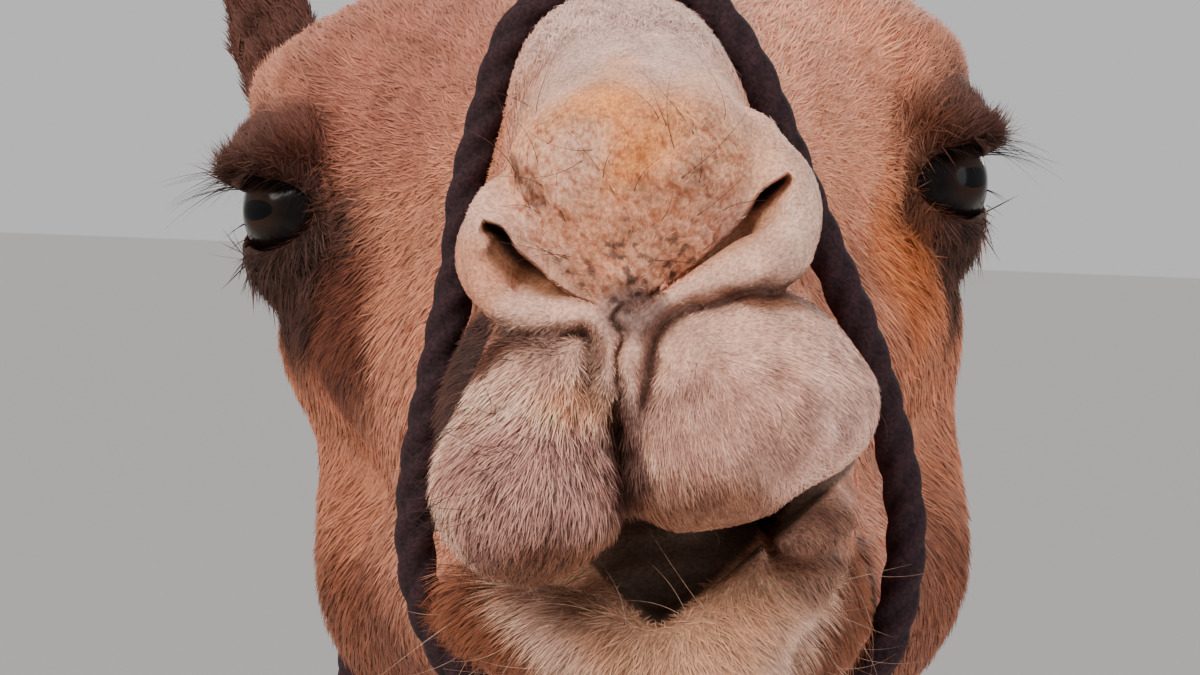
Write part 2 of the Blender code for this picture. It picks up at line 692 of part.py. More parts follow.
def make_halter():
    rope = finish("rope", ROPE_FINISH)
    made = {name: placed(name, rope_mesh(name, ROPE_RADIUS), rope) for name in ROPES}
    bm = bmesh.new()
    add_mass(bm, KNOT_CENTRE, KNOT_RADII, place=HEAD, detail=2)
    knot = cut_away(mesh_of(bm, "knot"), rope_cutters(with_knot=False, clearance=2 * CLEARANCE), "knot")
    made["halter_knot"] = placed("halter_knot", knot, rope)
    return made


# ---------------------------------------------------------------- parting the body
THROAT_CUT = ((0.0, 0.408, -0.118), 38)  # in the head's frame: middle, lean in degrees
SCRAP_SIZE = 0.02


def add_throat_slab(bm):
    centre, lean = THROAT_CUT
    add_slab(bm, centre, (0.20, 0.19, CUT / 2), lean, HEAD)


def throat_cut():
    bm = bmesh.new()
    add_throat_slab(bm)
    return mesh_of(bm, "throat_cut")


def body_cuts():
    bm = bmesh.new()
    add_throat_slab(bm)
    add_slab(bm, (0, -0.72, 1.40), (0.30, CUT / 2, 0.34), 12)  # root of the neck
    add_slab(bm, (0, 0.08, HUMP_CUT_HEIGHT), (0.35, 0.40, CUT / 2))
    add_slab(bm, (0, 0.905, 1.452), (0.08, 0.07, CUT / 2), 30)  # root of the tail
    for side, leg, _, step in LEGS.values():
        fore = leg is FORELEG
        height = FORELEG_CUT_HEIGHT if fore else HINDLEG_CUT_HEIGHT
        y = leg[3][1] if fore else leg[2][1]
        half_length = 0.17 if fore else 0.235
        add_slab(bm, (side * 0.166, y, height), (0.150, half_length, CUT / 2))
        foot_y = stride(leg[-1][1], 0.0, step)
        add_slab(bm, (side * leg[-1][0], foot_y, FOOT_CUT_HEIGHT), (0.13, 0.16, CUT / 2))
    return mesh_of(bm, "cuts")


def body_part_name(middle, size):
    """The name of a piece of the body, from where it lies."""
    side = "left" if middle.x > 0 else "right"
    end = "fore" if middle.y < 0.1 else "hind"
    if middle.z < FOOT_CUT_HEIGHT:
        return f"{end}foot_{side}"
    if middle.z < HINDLEG_CUT_HEIGHT and abs(middle.x) > 0.05:
        return f"{end}leg_{side}"
    if middle.y > 0.85:
        return "tail"
    if middle.z > HUMP_CUT_HEIGHT and middle.y > -0.5:
        return "hump"
    if size.y > 1.2:
        return "trunk"
    return "neck" if middle.z < 1.95 else "head"


def make_body():
    bm = bmesh.new()
    add_trunk(bm)
    add_legs(bm)
    add_loft(bm, [(0.0, y, z, wide, deep, 0.0) for y, z, wide, deep in TAIL], sides=16)
    body = melted(bm, BODY_VOXEL, 7, "body")
    body = flatten_soles(thinned(body, BODY_TRIANGLES, "body"))
    body = cut_away(body, rope_cutters(), "body")
    body = cut_away(body, body_cuts(), "body")
    hide, sole = finish("coat", COAT), finish("foot", FOOT_COAT)
    made = {}
    for middle, size, part in loose_parts(body):
        name = body_part_name(middle, size)
        if name != "head":
            made[name] = placed(name, part, sole if "foot" in name else hide)
    return made


# ---------------------------------------------------------------- head, jaw, eyes and halter
# side view of the line between the upper jaw and the lower one: y, z, from before the lips to the joint
MOUTH_LINE = ((-0.060, -0.0815), (0.045, -0.0785), (0.110, -0.0740), (0.200, -0.0620), (0.300, -0.0480))
JAW_ANGLE_LINE = ((0.352, -0.0480), (0.352, -0.2400))


def jaw_cut():
    """A thin folded wall between the jaws."""
    bm = bmesh.new()
    line = [*MOUTH_LINE, *JAW_ANGLE_LINE]
    half_width, half_cut = 0.16, CUT / 2
    walls = []
    for i, (y, z) in enumerate(line):
        y0, z0 = line[max(i - 1, 0)]
        y1, z1 = line[min(i + 1, len(line) - 1)]
        along = Vector((0, y1 - y0, z1 - z0)).normalized()
        off = Vector((1, 0, 0)).cross(along) * half_cut
        middle = Vector((0, y, z))
        walls.append(
            [
                bm.verts.new(HEAD @ (middle + sign * off + Vector((x, 0, 0))))
                for sign, x in ((-1, -half_width), (-1, half_width), (1, half_width), (1, -half_width))
            ]
        )
    for first, second in zip(walls, walls[1:]):
        for k in range(4):
            after = (k + 1) % 4
            bm.faces.new((first[k], first[after], second[after], second[k]))
    bm.faces.new(walls[0][::-1])
    bm.faces.new(walls[-1])
    return mesh_of(bm, "jaw_cut")


def make_head():
    bm = bmesh.new()
    add_head(bm)
    head = melted(bm, HEAD_VOXEL, 4, "head")
    head = cut_away(head, head_cutters(), "head")
    remade = bmesh.new()
    remade.from_mesh(head)
    head = melted(remade, HEAD_VOXEL, 2, "head")
    head.transform(HEAD)
    head = thinned(head, HEAD_TRIANGLES, "head")
    for cutters in (eye_cutters, ear_cutters, rope_cutters, throat_cut, jaw_cut):
        head = cut_away(head, cutters(), "head")
    pale = finish("face_coat", PALE_COAT)
    made = {}
    into_head = HEAD.inverted()
    for middle, size, part in loose_parts(head):
        local = into_head @ middle
        if size.length < SCRAP_SIZE or local.y > 0.35:
            continue  # the neck's end belongs to the neck
        name = "lower_jaw" if local.z < -0.09 else "head"
        made[name] = placed(name, part, pale)
    return made


def make_eyes():
    dark = finish("eye", EYE_FINISH)
    made = {}
    for name, side in (("eye_left", 1), ("eye_right", -1)):
        bm = bmesh.new()
        centre = Matrix.Translation((side * EYE_CENTRE.x, EYE_CENTRE.y, EYE_CENTRE.z))
        bmesh.ops.create_uvsphere(bm, u_segments=14, v_segments=9, radius=EYE_RADIUS, matrix=HEAD @ centre)
        made[name] = placed(name, mesh_of(bm, name), dark)
    return made


def make_ears():
    hide = finish("coat", COAT)
    return {name: placed(name, ear_mesh(*pose), hide) for name, pose in EARS.items()}


# ---------------------------------------------------------------- the whole animal
def stand_on_origin(objects):
    """Moves the animal so that the middle of its box, at floor level, is the origin."""
    corners = [vertex.co for obj in objects for vertex in obj.data.vertices]
    low = Vector(min(c[i] for c in corners) for i in range(3))
    high = Vector(max(c[i] for c in corners) for i in range(3))
    shift = Vector((-(low.x + high.x) / 2, -(low.y + high.y) / 2, -low.z))
    for obj in objects:
        obj.data.transform(Matrix.Translation(shift))


def main():
    made = {**make_body(), **make_head(), **make_eyes(), **make_ears(), **make_halter()}
    stand_on_origin(made.values())
    for obj in made.values():
        obj.data.shade_smooth()


main()
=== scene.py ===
import math

import bpy
import numpy as np
from mathutils import Matrix, Vector
from mathutils.bvhtree import BVHTree
from mathutils.kdtree import KDTree


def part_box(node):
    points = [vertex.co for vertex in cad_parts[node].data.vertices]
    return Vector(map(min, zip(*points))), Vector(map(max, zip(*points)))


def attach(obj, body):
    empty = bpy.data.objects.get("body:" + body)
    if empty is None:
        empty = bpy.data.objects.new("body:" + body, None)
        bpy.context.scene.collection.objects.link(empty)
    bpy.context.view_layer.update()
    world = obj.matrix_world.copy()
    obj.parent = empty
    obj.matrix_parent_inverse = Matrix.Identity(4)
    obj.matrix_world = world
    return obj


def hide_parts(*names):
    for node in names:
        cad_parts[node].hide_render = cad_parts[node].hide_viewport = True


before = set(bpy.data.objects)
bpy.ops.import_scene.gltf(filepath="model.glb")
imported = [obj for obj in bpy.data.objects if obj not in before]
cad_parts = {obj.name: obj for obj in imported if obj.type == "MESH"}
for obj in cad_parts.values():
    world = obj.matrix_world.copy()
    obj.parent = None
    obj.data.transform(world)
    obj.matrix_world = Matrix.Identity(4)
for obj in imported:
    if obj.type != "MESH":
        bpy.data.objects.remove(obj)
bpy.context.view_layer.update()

# ---------------------------------------------------------------- where the head is
# A camel that stands and chews, its head held high and rolled a little. Both eyes lie on one line across the
# head, so they give the head's own frame: x to the animal's left, y back from the nose to the poll, z up.
EYE_RADIUS = 0.0205
EYE_OUT, EYE_BACK, EYE_UP = 0.0925, 0.300, 0.016


def middle_of(node):
    low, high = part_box(node)
    return (low + high) / 2


left_eye, right_eye = middle_of("eye_left"), middle_of("eye_right")
across_head = (left_eye - right_eye).normalized()
up_head = across_head.cross(Vector((0, 1, 0))).normalized()
back_head = up_head.cross(across_head)
head_turn = Matrix((across_head, back_head, up_head)).transposed()
nose = (left_eye + right_eye) / 2 - head_turn @ Vector((0, EYE_BACK, EYE_UP))
HEAD = Matrix.Translation(nose) @ head_turn.to_4x4()
to_head = np.array(HEAD.inverted())
from_head = np.array(HEAD)


def moved(points, matrix):
    """Points, an array of rows, through a 4 by 4 matrix."""
    return points @ matrix[:3, :3].T + matrix[:3, 3]


# ---------------------------------------------------------------- studio: floor, soft light and camera
# A plain pale floor without end, painted matt, with two broad soft lamps over it. The camera stands in front
# of the animal, at the height of its nose.
FLOOR_REACH = 900.0
CAMERA_DISTANCE = 1.0
CAMERA_LENS, SENSOR_WIDTH = 124.74, 36.0
CAMERA_TURN, CAMERA_DIP, CAMERA_ROLL = math.radians(0.344), math.radians(-1.268), math.radians(2.2)


def plain_material(name, colour, roughness):
    material = bpy.data.materials.new(name)
    material.use_nodes = True
    shader = material.node_tree.nodes["Principled BSDF"]
    shader.inputs["Base Color"].default_value = (*colour, 1)
    shader.inputs["Roughness"].default_value = roughness
    return material


floor_mesh = bpy.data.meshes.new("studio_floor")
floor_corners = [(x * FLOOR_REACH, y * FLOOR_REACH, 0.0) for x, y in ((-1, -1), (1, -1), (1, 1), (-1, 1))]
floor_mesh.from_pydata(floor_corners, [], [(0, 1, 2, 3)])
floor_mesh.materials.append(plain_material("studio_paint", (0.80, 0.77, 0.74), 0.9))


def linked(name, content):
    """A new object of the scene that shows this content."""
    obj = bpy.data.objects.new(name, content)
    bpy.context.scene.collection.objects.link(obj)
    return obj


floor = linked("studio_floor", floor_mesh)


def soft_lamp(name, place, target, size, power, colour):
    lamp = bpy.data.lights.new(name, "AREA")
    lamp.shape, lamp.size, lamp.energy, lamp.color = "DISK", size, power, colour
    obj = linked(name, lamp)
    obj.location = place
    obj.rotation_mode = "QUATERNION"
    obj.rotation_quaternion = (Vector(target) - Vector(place)).to_track_quat("-Z", "Y")


soft_lamp(
    "key_lamp", nose + Vector((-2.2, -2.6, 3.0)), nose + Vector((0, 0.3, -0.2)), 2.6, 250, (1.0, 0.96, 0.90)
)
soft_lamp(
    "fill_lamp", nose + Vector((3.4, -2.4, 0.8)), nose + Vector((0, 0.5, -0.4)), 3.0, 75, (0.90, 0.94, 1.0)
)
soft_lamp("back_lamp", (1.5, 4.5, 4.6), (0, 0.2, 1.2), 4.0, 220, (1.0, 0.97, 0.93))

world = bpy.data.worlds.new("studio_air")
world.use_nodes = True
world.node_tree.nodes["Background"].inputs["Color"].default_value = (0.84, 0.83, 0.83, 1)
world.node_tree.nodes["Background"].inputs["Strength"].default_value = 0.75
bpy.context.scene.world = world

camera_data = bpy.data.cameras.new("camera")
camera_data.lens, camera_data.sensor_width = CAMERA_LENS, SENSOR_WIDTH
camera_data.clip_start, camera_data.clip_end = 0.05, 4000.0
camera = linked("camera", camera_data)
camera.matrix_world = (
    Matrix.Translation(nose - Vector((0, CAMERA_DISTANCE, 0)))
    @ Matrix.Rotation(CAMERA_TURN, 4, "Z")
    @ Matrix.Rotation(CAMERA_DIP, 4, "X")
    @ Matrix.Rotation(math.radians(90), 4, "X")
    @ Matrix.Rotation(CAMERA_ROLL, 4, "Z")
)
bpy.context.scene.camera = camera


# ---------------------------------------------------------------- form of the whole animal
# The living form is one field: negative inside the flesh, zero at the tips of the coat. It is a smooth union
# of lofts (trunk, hump, neck, tail, legs, jaws) and masses (muscles, lips), in the same sizes as the solids.
DRAWN_NOSE = np.array((0.0, -1.60, 2.15))  # the tables below are drawn with the nose here
drawn_shift = np.array(nose) - DRAWN_NOSE
FAR = 1.0


def between(rows, steps):
    """Rows of numbers made denser along a smooth curve that passes through each of them."""
    rows = np.asarray(rows, float)
    padded = np.vstack([rows[:1], rows, rows[-1:]])
    dense = []
    for a, b, c, d in zip(padded, padded[1:], padded[2:], padded[3:]):
        for step in range(steps):
            t = step / steps
            dense.append(
                0.5 * (
                    2 * b + (c - a) * t + (2 * a - 5 * b + 4 * c - d) * t**2 + (3 * b - a - 3 * c + d) * t**3
                )
            )
    dense.append(rows[-1])
    return np.array(dense)


def loft_field(points, rows, square):
    """Distance to a rounded tube through sections (x, y, z, half width, half depth, egg)."""
    start, run = rows[:-1, 1:3], np.diff(rows[:, 1:3], axis=0)
    length2 = (run**2).sum(1)
    flat = points[:, 1:3]
    free = (flat @ run.T - (start * run).sum(1)) / length2
    held = np.clip(free, 0, 1)
    gap = (start**2).sum(1) - 2 * flat @ start.T + (held * held - 2 * held * free) * length2
    best = gap.argmin(1)
    each = np.arange(len(points))
    free, held, length = free[each, best], held[each, best], np.sqrt(length2[best])
    section = rows[best] + held[:, None] * (rows[best + 1] - rows[best])
    along = run[best] / length[:, None]
    before, after = (best == 0) * -free, (best == len(run) - 1) * (free - 1)
    beyond = np.maximum(np.maximum(before, after), 0) * length
    offset = flat - section[:, 1:3]
    up = (offset[:, 1] * along[:, 0] - offset[:, 0] * along[:, 1]) / section[:, 4]
    side = (points[:, 0] - section[:, 0]) / (section[:, 3] * (1 - section[:, 5] * np.clip(up, -1, 1)))
    side, up = np.abs(side) + 1e-6, np.abs(up) + 1e-6
    ring = (side**square + up**square) ** (1 / square)
    slope = np.hypot(
        (side / ring) ** (square - 1) / section[:, 3], (up / ring) ** (square - 1) / section[:, 4]
    )
    distance = (ring - 1) / slope
    return np.where(beyond > 0, np.maximum(np.hypot(np.maximum(distance, 0), beyond), distance), distance)


def turned(tilt):
    """The 3 by 3 turn by degrees about X, then Y, then Z."""
    turn = Matrix.Identity(3)
    for axis, degrees in zip("XYZ", tilt):
        turn = Matrix.Rotation(math.radians(degrees), 3, axis) @ turn
    return np.array(turn)


def smooth_step(low, high, value):
    t = np.clip((value - low) / (high - low), 0, 1)
    return t * t * (3 - 2 * t)


BROW_SPREAD = 0.07


def in_head_frame(points):
    """Points in the frame of the head. Its right brow stands out a little further than its left one."""
    local = moved(points, to_head)
    x, y, z = local.T
    brow = (
        smooth_step(0.20, 0.26, y) * smooth_step(0.40, 0.34, y) * smooth_step(-0.07, -0.02, z)
        * smooth_step(0.10, 0.06, z)
    )
    local[:, 0] = np.where(x < 0, x * (1 - BROW_SPREAD * brow), x)
    return local


def mass_field(points, centre, radii, tilt=(0, 0, 0)):
    """Distance to an ellipsoid."""
    radii = np.array(radii)
    own = (points - np.array(centre)) @ turned(tilt)
    outer = np.sqrt(((own / radii) ** 2).sum(1)) + 1e-9
    inner = np.sqrt(((own / radii**2) ** 2).sum(1)) + 1e-9
    return outer * (outer - 1) / inner


def path_distance(points, path):
    """Distance to a broken line and the place along it in segments. Both have the same columns."""
    best = np.full(len(points), np.inf)
    place = np.zeros(len(points))
    for k, (start, end) in enumerate(zip(path, path[1:])):
        run = end - start
        t = np.clip((points - start) @ run / (run @ run), 0, 1)
        near = ((points - start - t[:, None] * run) ** 2).sum(1)
        better = near < best
        best[better] = near[better]
        place[better] = k + t[better]
    return np.sqrt(best), place


def roll_field(points, rows):
    """Distance to a bent roll through rows (x, y, z, radius)."""
    distance, place = path_distance(points, rows[:, :3])
    return distance - np.interp(place, np.arange(len(rows)), rows[:, 3])


def melt(first, second, reach):
    """Smooth union of two fields."""
    blend = np.maximum(reach - np.abs(first - second), 0) / reach
    return np.minimum(first, second) - blend * blend * reach / 4


def carve(field, cutter, reach):
    """The field less the cutter, with a soft edge."""
    return -melt(-field, cutter, reach)


def near_box(points, low, high, margin):
    return ((points > np.array(low) - margin) & (points < np.array(high) + margin)).all(1)


class Flesh:
    """One lump of the form: where it can matter, its field and how softly it melts into the rest."""

    def __init__(self, low, high, field, reach, in_head=False):
        self.low, self.high, self.field, self.reach, self.in_head = low, high, field, reach, in_head


lumps = []


def add_loft(rows, square, reach, in_head=False, steps=3, closed_at=None):
    """A loft. closed_at is (height, 1 for its top or -1 for its foot, rounding) where it ends in the open."""
    dense = between(rows, steps)
    spread = dense[:, 3:5].max(1)[:, None]
    low, high = (dense[:, :3] - spread).min(0), (dense[:, :3] + spread).max(0)

    def field(points):
        distance = loft_field(points, dense, square)
        if closed_at is None:
            return distance
        height, way, rounding = closed_at
        return carve(distance, way * (height - points[:, 2]), rounding)

    lumps.append(Flesh(low, high, field, reach, in_head))


def add_mass(centre, radii, tilt=(0, 0, 0), reach=0.03, in_head=False):
    wide = max(radii)
    low, high = np.array(centre) - wide, np.array(centre) + wide
    lumps.append(Flesh(low, high, lambda points: mass_field(points, centre, radii, tilt), reach, in_head))


def add_pair(centre, radii, tilt=(0, 0, 0), reach=0.03, in_head=False):
    """The same mass on the left and on the right."""
    x, y, z = centre
    for side in (1, -1):
        add_mass((side * x, y, z), radii, (tilt[0], side * tilt[1], side * tilt[2]), reach, in_head)


def add_roll(rows, reach, in_head=True):
    dense = between(rows, 4)
    spread = dense[:, 3].max()
    low, high = dense[:, :3].min(0) - spread, dense[:, :3].max(0) + spread
    lumps.append(Flesh(low, high, lambda points: roll_field(points, dense), reach, in_head))


# trunk: y, back line, belly line, half width, egg
TRUNK = (
    (0.86, 1.50, 1.40, 0.050, 0.0),
    (0.79, 1.60, 1.34, 0.110, 0.0),
    (0.66, 1.675, 1.28, 0.175, 0.0),
    (0.46, 1.705, 1.235, 0.225, 0.05),
    (0.22, 1.735, 1.145, 0.290, 0.10),
    (-0.04, 1.765, 1.060, 0.320, 0.12),
    (-0.26, 1.785, 1.020, 0.290, 0.12),
    (-0.44, 1.745, 1.035, 0.230, 0.10),
    (-0.56, 1.67, 1.110, 0.170, 0.05),
    (-0.64, 1.58, 1.200, 0.110, 0.0),
)
# hump: z, middle y, half width, half length
HUMP = (
    (1.60, 0.10, 0.250, 0.440),
    (1.74, 0.09, 0.215, 0.375),
    (1.86, 0.08, 0.168, 0.292),
    (1.96, 0.075, 0.126, 0.215),
    (2.035, 0.07, 0.082, 0.145),
    (2.078, 0.07, 0.036, 0.070),
)
# neck: y, z, half width, half depth, egg
NECK = (
    (-0.34, 1.54, 0.150, 0.240, 0.10),
    (-0.56, 1.455, 0.145, 0.235, 0.10),
    (-0.75, 1.385, 0.120, 0.200, 0.08),
    (-0.93, 1.405, 0.104, 0.168, 0.05),
    (-1.065, 1.525, 0.094, 0.142, 0.0),
    (-1.145, 1.70, 0.088, 0.125, -0.05),
    (-1.175, 1.88, 0.085, 0.114, -0.05),
    (-1.176, 2.02, 0.082, 0.101, 0.0),
    (-1.172, 2.12, 0.072, 0.083, 0.0),
    (-1.176, 2.19, 0.050, 0.048, 0.0),
)
# tail: y, z, half width, half depth
TAIL = (
    (0.80, 1.55, 0.052, 0.045),
    (0.875, 1.500, 0.042, 0.036),
    (0.925, 1.40, 0.032, 0.028),
    (0.945, 1.26, 0.024, 0.021),
    (0.945, 1.13, 0.020, 0.017),
    (0.940, 1.02, 0.018, 0.016),
    (0.935, 0.92, 0.014, 0.013),
    (0.932, 0.86, 0.009, 0.008),
)
# legs: x, y, z, half width, half depth
FORELEG = (
    (0.135, -0.455, 1.42, 0.060, 0.100),
    (0.164, -0.418, 1.27, 0.086, 0.136),
    (0.174, -0.382, 1.11, 0.076, 0.114),
    (0.172, -0.372, 0.95, 0.062, 0.086),
    (0.166, -0.378, 0.78, 0.054, 0.066),
    (0.160, -0.388, 0.655, 0.058, 0.064),
    (0.157, -0.392, 0.565, 0.063, 0.068),
    (0.155, -0.385, 0.475, 0.049, 0.052),
    (0.153, -0.378, 0.33, 0.042, 0.044),
    (0.151, -0.376, 0.20, 0.046, 0.050),
    (0.150, -0.382, 0.135, 0.050, 0.054),
    (0.150, -0.395, 0.085, 0.062, 0.066),
)
HINDLEG = (
    (0.115, 0.630, 1.56, 0.090, 0.165),
    (0.150, 0.600, 1.42, 0.105, 0.205),
    (0.170, 0.560, 1.27, 0.092, 0.180),
    (0.168, 0.545, 1.13, 0.074, 0.128),
    (0.160, 0.590, 0.98, 0.060, 0.094),
    (0.154, 0.655, 0.82, 0.050, 0.072),
    (0.150, 0.700, 0.70, 0.052, 0.068),
    (0.148, 0.712, 0.625, 0.055, 0.070),
    (0.146, 0.700, 0.53, 0.046, 0.054),
    (0.144, 0.678, 0.36, 0.039, 0.043),
    (0.142, 0.658, 0.21, 0.042, 0.047),
    (0.141, 0.648, 0.135, 0.046, 0.051),
    (0.141, 0.636, 0.085, 0.057, 0.062),
)
# foot: half width, half length, how far its middle lies ahead of the shank, height of its broadest ring
FOREFOOT = (0.098, 0.112, 0.028, 0.030)
HINDFOOT = (0.086, 0.102, 0.026, 0.028)
# side of the body, leg, foot, and how far the foot is set forward (-) or back (+)
LEGS = {
    "foreleg_left": (1, FORELEG, FOREFOOT, -0.045),
    "foreleg_right": (-1, FORELEG, FOREFOOT, 0.035),
    "hindleg_left": (1, HINDLEG, HINDFOOT, 0.050),
    "hindleg_right": (-1, HINDLEG, HINDFOOT, -0.055),
}
STRIDE_HEIGHT = 1.30


def stride(y, z, step):
    return y + step * max(0.0, 1.0 - z / STRIDE_HEIGHT)


def foot_middle(name):
    """Where the middle of the sole is, in the drawn frame."""
    side, leg, foot, step = LEGS[name]
    return np.array((side * leg[-1][0], stride(leg[-1][1], 0.0, step) - foot[2], 0.0))


BODY_REACH = 0.045
add_loft([(0, y, (b + c) / 2, w, (b - c) / 2, egg) for y, b, c, w, egg in TRUNK], 2.25, BODY_REACH)
add_loft(
    [(0, y, z, w, half, 0) for z, y, w, half in HUMP], 2.2, 0.10,
    closed_at=(max(row[0] for row in HUMP), 1, 0.05)
)
add_loft([(0, y, z, w, d, egg) for y, z, w, d, egg in NECK], 2.2, BODY_REACH)
add_loft([(0, y, z, w, d, 0) for y, z, w, d in TAIL], 2.2, 0.02)
add_mass((0, -0.38, 1.675), (0.120, 0.30, 0.100), (12, 0, 0), BODY_REACH)  # withers
add_mass((0, -0.47, 1.20), (0.135, 0.15, 0.180), reach=BODY_REACH)  # breast
add_mass((0, -0.27, 1.055), (0.085, 0.115, 0.060), reach=0.02)  # callous pad under the breastbone
add_pair((0.130, -0.43, 1.42), (0.108, 0.170, 0.240), (14, 10, 0), BODY_REACH)  # shoulder blade
add_pair((0.098, 0.58, 1.535), (0.108, 0.225, 0.130), (-8, 0, 0), BODY_REACH)  # hip
add_pair((0.080, 0.755, 1.475), (0.078, 0.105, 0.130), (0, 0, 0), BODY_REACH)  # pin bone
FOOT_LEVELS = (
    (-0.020, 0.93), (0.0, 0.95), (0.008, 0.985), (0.030, 1.0), (0.055, 0.90), (0.080, 0.70), (0.100, 0.50),
)
for side, leg, foot, step in LEGS.values():
    add_loft([(side * x, stride(y, z, step), z, w, d, 0) for x, y, z, w, d in leg], 2.1, 0.03)
    x, y = side * leg[-1][0], stride(leg[-1][1], 0.0, step) - foot[2]
    pad = [(x, y + 0.35 * h, h, foot[0] * scale, foot[1] * scale, 0) for h, scale in FOOT_LEVELS]
    add_loft(pad, 2.2, 0.012, steps=2, closed_at=(min(row[2] for row in pad), -1, 0.004))

# the head, in its own frame. y, top, bottom, half width, egg, middle x
SKULL = (
    (0.480, 0.030, -0.040, 0.040, 0.0, 0.0),
    (0.455, 0.065, -0.070, 0.062, 0.0, 0.0),
    (0.415, 0.088, -0.085, 0.080, 0.0, 0.0),
    (0.365, 0.099, -0.090, 0.094, 0.02, 0.0),
    (0.315, 0.098, -0.090, 0.096, 0.06, 0.0),
    (0.265, 0.088, -0.090, 0.083, 0.16, 0.0),
    (0.205, 0.070, -0.090, 0.060, 0.24, 0.001),
    (0.150, 0.050, -0.085, 0.0465, 0.18, 0.0015),
    (0.100, 0.036, -0.080, 0.0405, 0.15, 0.0025),
    (0.055, 0.024, -0.070, 0.035, 0.10, 0.003),
    (0.022, 0.012, -0.055, 0.029, 0.05, 0.001),
    (0.008, 0.002, -0.040, 0.022, 0.0, 0.0),
)
# bridge of the nose: y, top, bottom, half width, middle x
BRIDGE = (
    (0.300, 0.092, 0.010, 0.056, 0.000),
    (0.210, 0.080, -0.010, 0.042, 0.002),
    (0.130, 0.0705, -0.020, 0.0335, 0.0000),
    (0.090, 0.064, -0.020, 0.0325, 0.001),
    (0.052, 0.051, -0.020, 0.0320, 0.003),
    (0.024, 0.035, -0.015, 0.0285, 0.002),
    (0.010, 0.018, -0.010, 0.0200, 0.001),
)
# lower jaw from its angle to the chin: y, top, bottom, half width, middle x
JAW = (
    (0.425, -0.010, -0.120, 0.070, 0.0),
    (0.385, -0.020, -0.152, 0.092, 0.0),
    (0.335, -0.030, -0.157, 0.100, 0.0),
    (0.280, -0.040, -0.146, 0.090, 0.001),
    (0.215, -0.050, -0.132, 0.073, 0.003),
    (0.150, -0.060, -0.127, 0.060, 0.006),
    (0.090, -0.070, -0.126, 0.045, 0.008),
    (0.045, -0.086, -0.124, 0.031, 0.009),
    (0.022, -0.096, -0.118, 0.020, 0.009),
)
add_loft([(x, y, (t + b) / 2, w, (t - b) / 2, egg) for y, t, b, w, egg, x in SKULL], 2.3, 0.02, True)
add_loft([(x, y, (t + b) / 2, w, (t - b) / 2, -0.10) for y, t, b, w, x in JAW], 2.3, 0.012, True)
add_loft([(x, y, (t + b) / 2, w, (t - b) / 2, 0) for y, t, b, w, x in BRIDGE], 2.4, 0.010, True)
add_pair((0.066, 0.330, 0.054), (0.046, 0.062, 0.030), (0, 10, 0), 0.025, True)  # brow
add_pair((0.096, 0.304, 0.0345), (0.023, 0.036, 0.013), (0, 14, 0), 0.012, True)  # upper lid
add_pair((0.0885, 0.305, 0.004), (0.0245, 0.032, 0.019), (0, 0, 0), 0.012, True)  # lower lid
add_pair((0.072, 0.310, -0.028), (0.030, 0.075, 0.030), (0, 0, -10), 0.025, True)  # cheekbone
add_pair((0.078, 0.362, -0.080), (0.027, 0.066, 0.072), (0, 0, 0), 0.025, True)  # masseter
add_pair((0.056, 0.225, -0.040), (0.018, 0.080, 0.036), (0, 0, -12), 0.02, True)  # facial crest
add_pair((0.070, 0.410, 0.024), (0.026, 0.042, 0.036), (0, 0, 0), 0.03, True)  # root of the ear

# soft tissue of the muzzle, which the chewing jaw twists: middle, radii, tilt, melt
MUZZLE_MASSES = (
    ((-0.0385, 0.104, -0.0560), (0.0135, 0.048, 0.0360), (0, 0, 0), 0.015),  # right cheek pouch
    ((0.0450, 0.102, -0.0540), (0.0140, 0.048, 0.0360), (0, 0, 0), 0.015),  # left cheek pouch
    ((0.0075, 0.047, -0.1080), (0.0270, 0.036, 0.0190), (0, 0, 0), 0.012),  # chin
    ((-0.0320, 0.036, -0.0010), (0.0120, 0.026, 0.0150), (0, 0, 0), 0.006),  # side wall of the right nostril
    ((0.0372, 0.038, 0.0070), (0.0122, 0.026, 0.0180), (0, 0, 0), 0.008),  # side wall of the left nostril
    ((0.0020, 0.034, 0.0210), (0.0300, 0.030, 0.0215), (0, -4, 0), 0.008),  # plate between the nostrils
    ((0.0005, 0.020, 0.0035), (0.0215, 0.018, 0.0135), (0, -4, 0), 0.006),
    ((-0.0010, 0.012, -0.0075), (0.0105, 0.011, 0.0075), (0, 0, 0), 0.005),
    # where the halves of the lip meet
    ((-0.0015, 0.018, -0.0410), (0.0150, 0.017, 0.0240), (0, 4, 0), 0.006),
    ((-0.0262, 0.016, -0.0570), (0.0240, 0.030, 0.0235), (0, -8, 0), 0.006),  # right half of the upper lip
    ((-0.0210, 0.017, -0.0335), (0.0175, 0.024, 0.0190), (0, 0, 0), 0.012),
    ((0.0300, 0.017, -0.0395), (0.0300, 0.033, 0.0225), (0, 4, 0), 0.004),  # left half of the upper lip
    ((0.0190, 0.015, -0.0520), (0.0205, 0.029, 0.0212), (0, 0, 0), 0.008),
    ((0.0265, 0.019, -0.0265), (0.0240, 0.024, 0.0160), (0, 0, 0), 0.008),
    ((0.0110, 0.012, -0.0480), (0.0145, 0.022, 0.0220), (0, 0, 0), 0.006),  # its inner edge
    ((-0.0030, 0.012, -0.0185), (0.0075, 0.0125, 0.0090), (0, 0, 0), 0.003),  # under the plate
    ((0.0000, 0.015, -0.0270), (0.0160, 0.0140, 0.0180), (0, 0, 0), 0.004),
)
for centre, radii, tilt, reach in MUZZLE_MASSES:
    add_mass(centre, radii, tilt, reach, True)
